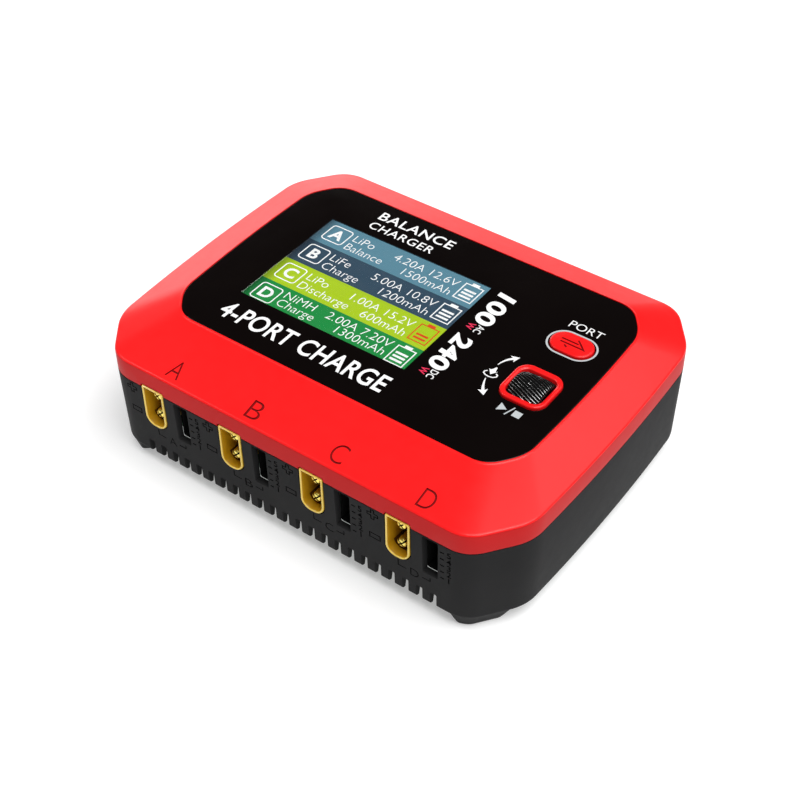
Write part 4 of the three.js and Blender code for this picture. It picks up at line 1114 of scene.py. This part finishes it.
def build_wheel():
    """A barrel with fine ridges that run slightly askew."""
    radius = (wheel_high.z - wheel_low.z) / 2
    half = (wheel_high.x - wheel_low.x) / 2
    ridges = 48
    per = 12
    steps = 25
    depth = 0.36
    bore_radius = 1.09
    count = ridges * per
    rings = []
    crests = []
    for i in range(steps):
        share = -1 + 2 * i / (steps - 1)
        crown = radius - 0.75 * abs(share) ** 3.2
        if abs(share) == 1:
            crown -= 0.35
        twist = -0.28 * share
        ring = []
        for j in range(count):
            angle = 2 * math.pi * j / count
            wave = 0.5 + 0.5 * math.cos(ridges * (angle + twist))
            r = crown - depth * (1 - wave) ** 0.8 * (1 - abs(share) ** 10)
            ring.append((share * half, r * math.cos(angle), r * math.sin(angle)))
            crests.append(wave > 0.9)
        rings.append(ring)
    bm = loft(rings)
    bm.faces.ensure_lookup_table()
    # Crest faces take the bright ridge material: painted highlight.
    for face, crest in zip(bm.faces, crests[:count * (steps - 1)]):
        face.material_index = int(crest)
    bm.transform(Matrix.Translation(WHEEL))
    wheel = make_object("wheel_barrel", bm, [gloss_wheel, ridge_painted_highlight], 50)
    hole = circle(WHEEL.y, WHEEL.z, bore_radius, 24)
    ends = (WHEEL.x - half - 1, WHEEL.x + half + 1)
    boolean(wheel, loft([[(x, y, z) for y, z in hole] for x in ends]))
    shade(wheel.data, 50)
    place(wheel, "wheel", "wheel_black", "scroll_wheel")


build_wheel()

# ---- Sockets and inlets --------------------------------------------------------------------------


def socket_mesh():
    """A power socket with its face in X and Z at y = 0, running back along Y."""
    profile = (  # depth, growth: round the rim and down the cavity
        (13.4, 0), (0.25, 0), (0.06, -0.07), (-0.15, -0.2), (-0.15, -0.5),
        (0.05, -0.7), (0.35, -0.78), (3.0, -0.9), (8.3, -1.1), (8.5, -1.35),
    )
    bm = bore([(socket_outline(grow), depth) for depth, grow in profile])
    for face in bm.faces:
        depths = [v.co.y for v in face.verts]
        inside = max(abs(v.co.x) for v in face.verts) < 3.4
        # Rim faces take the lighter yellow as painted light; deep cavity faces take the darker yellow as
        # painted shade.
        face.material_index = 1 if max(depths) < 0.3 else 2 if inside and min(depths) > 2.9 else 0
    return bm


def pin_mesh(steps=28):
    """A bullet pin with a rounded tip, along Y from its tip at y = 0."""
    radius = 1.75
    profile = (  # depth, shrink: a groove behind a rounded tip
        (11.5, 0), (4.4, 0), (4.2, 0.12), (3.8, 0.12), (3.6, 0),
        (0.8, 0), (0.52, 0.06), (0.28, 0.22), (0.1, 0.48), (0, 0.85),
    )
    return bore([(circle(0, 0, radius - shrink, steps), depth) for depth, shrink in profile])


def pin_slots():
    tools = bmesh.new()
    slot, reach, depth = 0.26, 3.0, 5.0
    for turn in (45, 135):
        one = block(None, -slot, slot, -1, depth, -reach, reach)
        one.transform(Matrix.Rotation(math.radians(turn), 4, "Y"))
        # The slot faces take the near-black: painted shade inside the slots.
        for face in one.faces:
            face.material_index = 1
        merge(tools, one)
    return tools


def build_power(place_matrix, shell_name, shell_node, pin_names):
    recess, pitch = 1.9, 3.9
    bm = socket_mesh()
    bm.transform(place_matrix)
    shell = make_object(shell_name, bm, [gold_nylon, gold_rim_painted_light, gold_deep_painted_shade], 32)
    place(shell, "base", "gold_nylon", shell_node)
    for node, side in zip(pin_names, (1, -1)):
        pin = make_object(node + "_pin", pin_mesh(), [gold_plate, black_recess_painted_shade], 32)
        boolean(pin, pin_slots())
        shift = place_matrix @ Matrix.Translation((0, recess, side * pitch))
        pin.data.transform(Matrix.Scale(MM, 4) @ shift @ Matrix.Scale(1 / MM, 4))
        shade(pin.data, 32)
        place(pin, "base", "gold_plate", node)


for letter, x in zip("abcd", PORTS):
    build_power(
        Matrix.Translation((x, FRONT, SOCKET_Z)), f"output_shell_{letter}", f"output_socket_{letter}",
        (f"output_pin_{letter}_positive", f"output_pin_{letter}_negative"),
    )
dc_turn = Matrix.Rotation(math.pi, 4, "Z") @ Matrix.Rotation(math.pi / 2, 4, "Y")
build_power(
    Matrix.Translation((DC_X, BACK, DC_Z)) @ dc_turn, "dc_inlet_shell", "dc_inlet",
    ("dc_inlet_pin_positive", "dc_inlet_pin_negative"),
)


def build_balance(letter, x):
    """A five-way header: an open box with a row of square pins."""
    low, high = box_mm(f"balance_socket_{letter}")
    z = (low.z + high.z) / 2
    cx = x + BALANCE_OFFSET
    pitch, half = 2.5, 0.32

    def face(grow):
        return rounded(cx, z, BALANCE_WIDTH + 2 * grow, BALANCE_HEIGHT + 2 * grow, 0.3 + max(grow, 0), 4)

    def square(at_z, reach):
        return [(cx + sx * reach, at_z + sz * reach) for sx, sz in ((-1, -1), (1, -1), (1, 1), (-1, 1))]

    steps = (
        (0.6, high.y), (0.6, low.y + 0.1), (0.5, low.y),
        (0.12, low.y), (0.0, low.y + 0.2), (0.0, low.y + 7.6),
    )
    header_mesh = bore([(face(grow), y) for grow, y in steps])
    header = make_object(f"balance_header_{letter}", header_mesh, [dark_nylon], 32)
    place(header, "base", "black_nylon", f"balance_socket_{letter}")
    pins = bmesh.new()
    for i in range(5):
        pin_z = z + (i - 2) * pitch
        steps = ((half, low.y + 7.7), (half, low.y + 2.4), (half * 0.45, low.y + 1.9))
        merge(pins, bore([(square(pin_z, reach), y) for reach, y in steps]))
    place(make_object(f"balance_pins_{letter}", pins, [tin_plate]), "base", "steel")


for letter, x in zip("abcd", PORTS):
    build_balance(letter, x)


def build_ac_inlet():
    """A two-pole inlet: a rounded face with a stadium-shaped mouth."""
    y = ac_high.y

    def face(grow):
        return rounded(AC_X, AC_Z, AC_WIDTH + 2 * grow, AC_HEIGHT + 2 * grow, 2 + grow, 8)

    def mouth(grow):
        return rounded(AC_X, AC_Z, 16.2 + 2 * grow, 8.4 + 2 * grow, 4.19 + grow, 8)

    shell_mesh = bore([
        (face(0), ac_low.y), (face(0), y - 0.25), (face(-0.08), y - 0.07), (face(-0.25), y),
        (mouth(0.35), y), (mouth(0.1), y - 0.1), (mouth(0), y - 0.35), (mouth(-0.1), y - 12.1),
    ])
    place(make_object("ac_inlet_shell", shell_mesh, [dark_nylon], 32), "base", "black_nylon", "ac_inlet")
    for i in (1, 2):
        low, high = box_mm(f"ac_inlet_pin_{i}")
        cx, radius = (low.x + high.x) / 2, (high.x - low.x) / 2
        tip = high.y
        profile = ((low.y, 1), (tip - 0.9, 1), (tip - 0.45, 0.9), (tip - 0.12, 0.66), (tip, 0.3))
        prong = bore([(circle(cx, AC_Z, radius * share, 24), at) for at, share in profile])
        place(make_object(f"ac_pin_{i}", prong, [steel], 40), "base", "steel", f"ac_inlet_pin_{i}")


build_ac_inlet()

# ---- CAD pieces that stay: materials only --------------------------------------------------------
KEPT = {
    rubber: ["foot_pad_front_left", "foot_pad_front_right", "foot_pad_back_left", "foot_pad_back_right"],
    steel: [f"case_screw_{i}" for i in range(1, 5)] + ["lcd_frame", "wheel_axle", "wheel_bracket"],
    board_mask: ["port_board", "main_board", "control_board"],
    dark_nylon: ["button_plunger", "wheel_plunger", "wheel_carriage", "fan_frame", "fan_rotor"],
    epoxy: ["button_switch", "wheel_switch", "wheel_encoder"] + [f"choke_{c}" for c in "abcd"],
    aluminium: ["heat_sink"],
    tape: ["transformer"],
    sleeve: ["bulk_capacitor"],
}
for finish_, nodes_ in KEPT.items():
    for node in nodes_:
        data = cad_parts[node].data
        data.materials.clear()
        data.materials.append(finish_)

# ---- Floor and lights ----------------------------------------------------------------------------


def make_floor():
    nodes = Nodes("floor_paper")
    paper = nodes.finish(
        Base_Color=nodes.colour(nodes.noise(3), (0.68, 0.68, 0.68), (0.71, 0.71, 0.71)),
        Roughness=0.9,
        Emission_Color=(1, 1, 1, 1),
        Emission_Strength=0.38,
    )
    size = 40000
    bm = bmesh.new()
    corners = ((-size, -size), (size, -size), (size, size), (-size, size))
    bm.faces.new([bm.verts.new((x, y, 0)) for x, y in corners])
    floor = make_object("floor", bm, [paper])


def area_light(name, place_, size, watts, target=(0, 0, 0.03)):
    data = bpy.data.lights.new(name, "AREA")
    data.shape = "RECTANGLE"
    data.size, data.size_y = size
    data.energy = watts
    light = bpy.data.objects.new(name, data)
    light.location = place_
    aim = Vector(target) - Vector(place_)
    light.rotation_euler = aim.to_track_quat("-Z", "Y").to_euler()
    scene.collection.objects.link(light)


def sky_light(name, direction, strength, spread):
    """An even light from a round patch of sky, the same over the whole floor."""
    data = bpy.data.lights.new(name, "SUN")
    data.energy = strength
    data.angle = math.radians(spread)
    light = bpy.data.objects.new(name, data)
    light.rotation_euler = Vector(direction).to_track_quat("Z", "Y").to_euler()
    scene.collection.objects.link(light)


make_floor()
sky_light("overhead_sky", (0.42, -0.02, 1.0), 3.2, 50)
area_light("left_panel", (-1.05, 0.9, 0.30), (1.1, 0.4), 3.6)
area_light("back_panel", (0.35, 0.75, 0.95), (0.5, 0.4), 1.7)
area_light("high_left_panel", (-1.3, -0.45, 1.4), (0.42, 0.42), 6.0)
world = bpy.data.worlds.new("studio")
scene.world = world
world.use_nodes = True
world.node_tree.nodes["Background"].inputs["Color"].default_value = (1, 1, 1, 1)
world.node_tree.nodes["Background"].inputs["Strength"].default_value = 0.05
scene.view_settings.view_transform = "Standard"
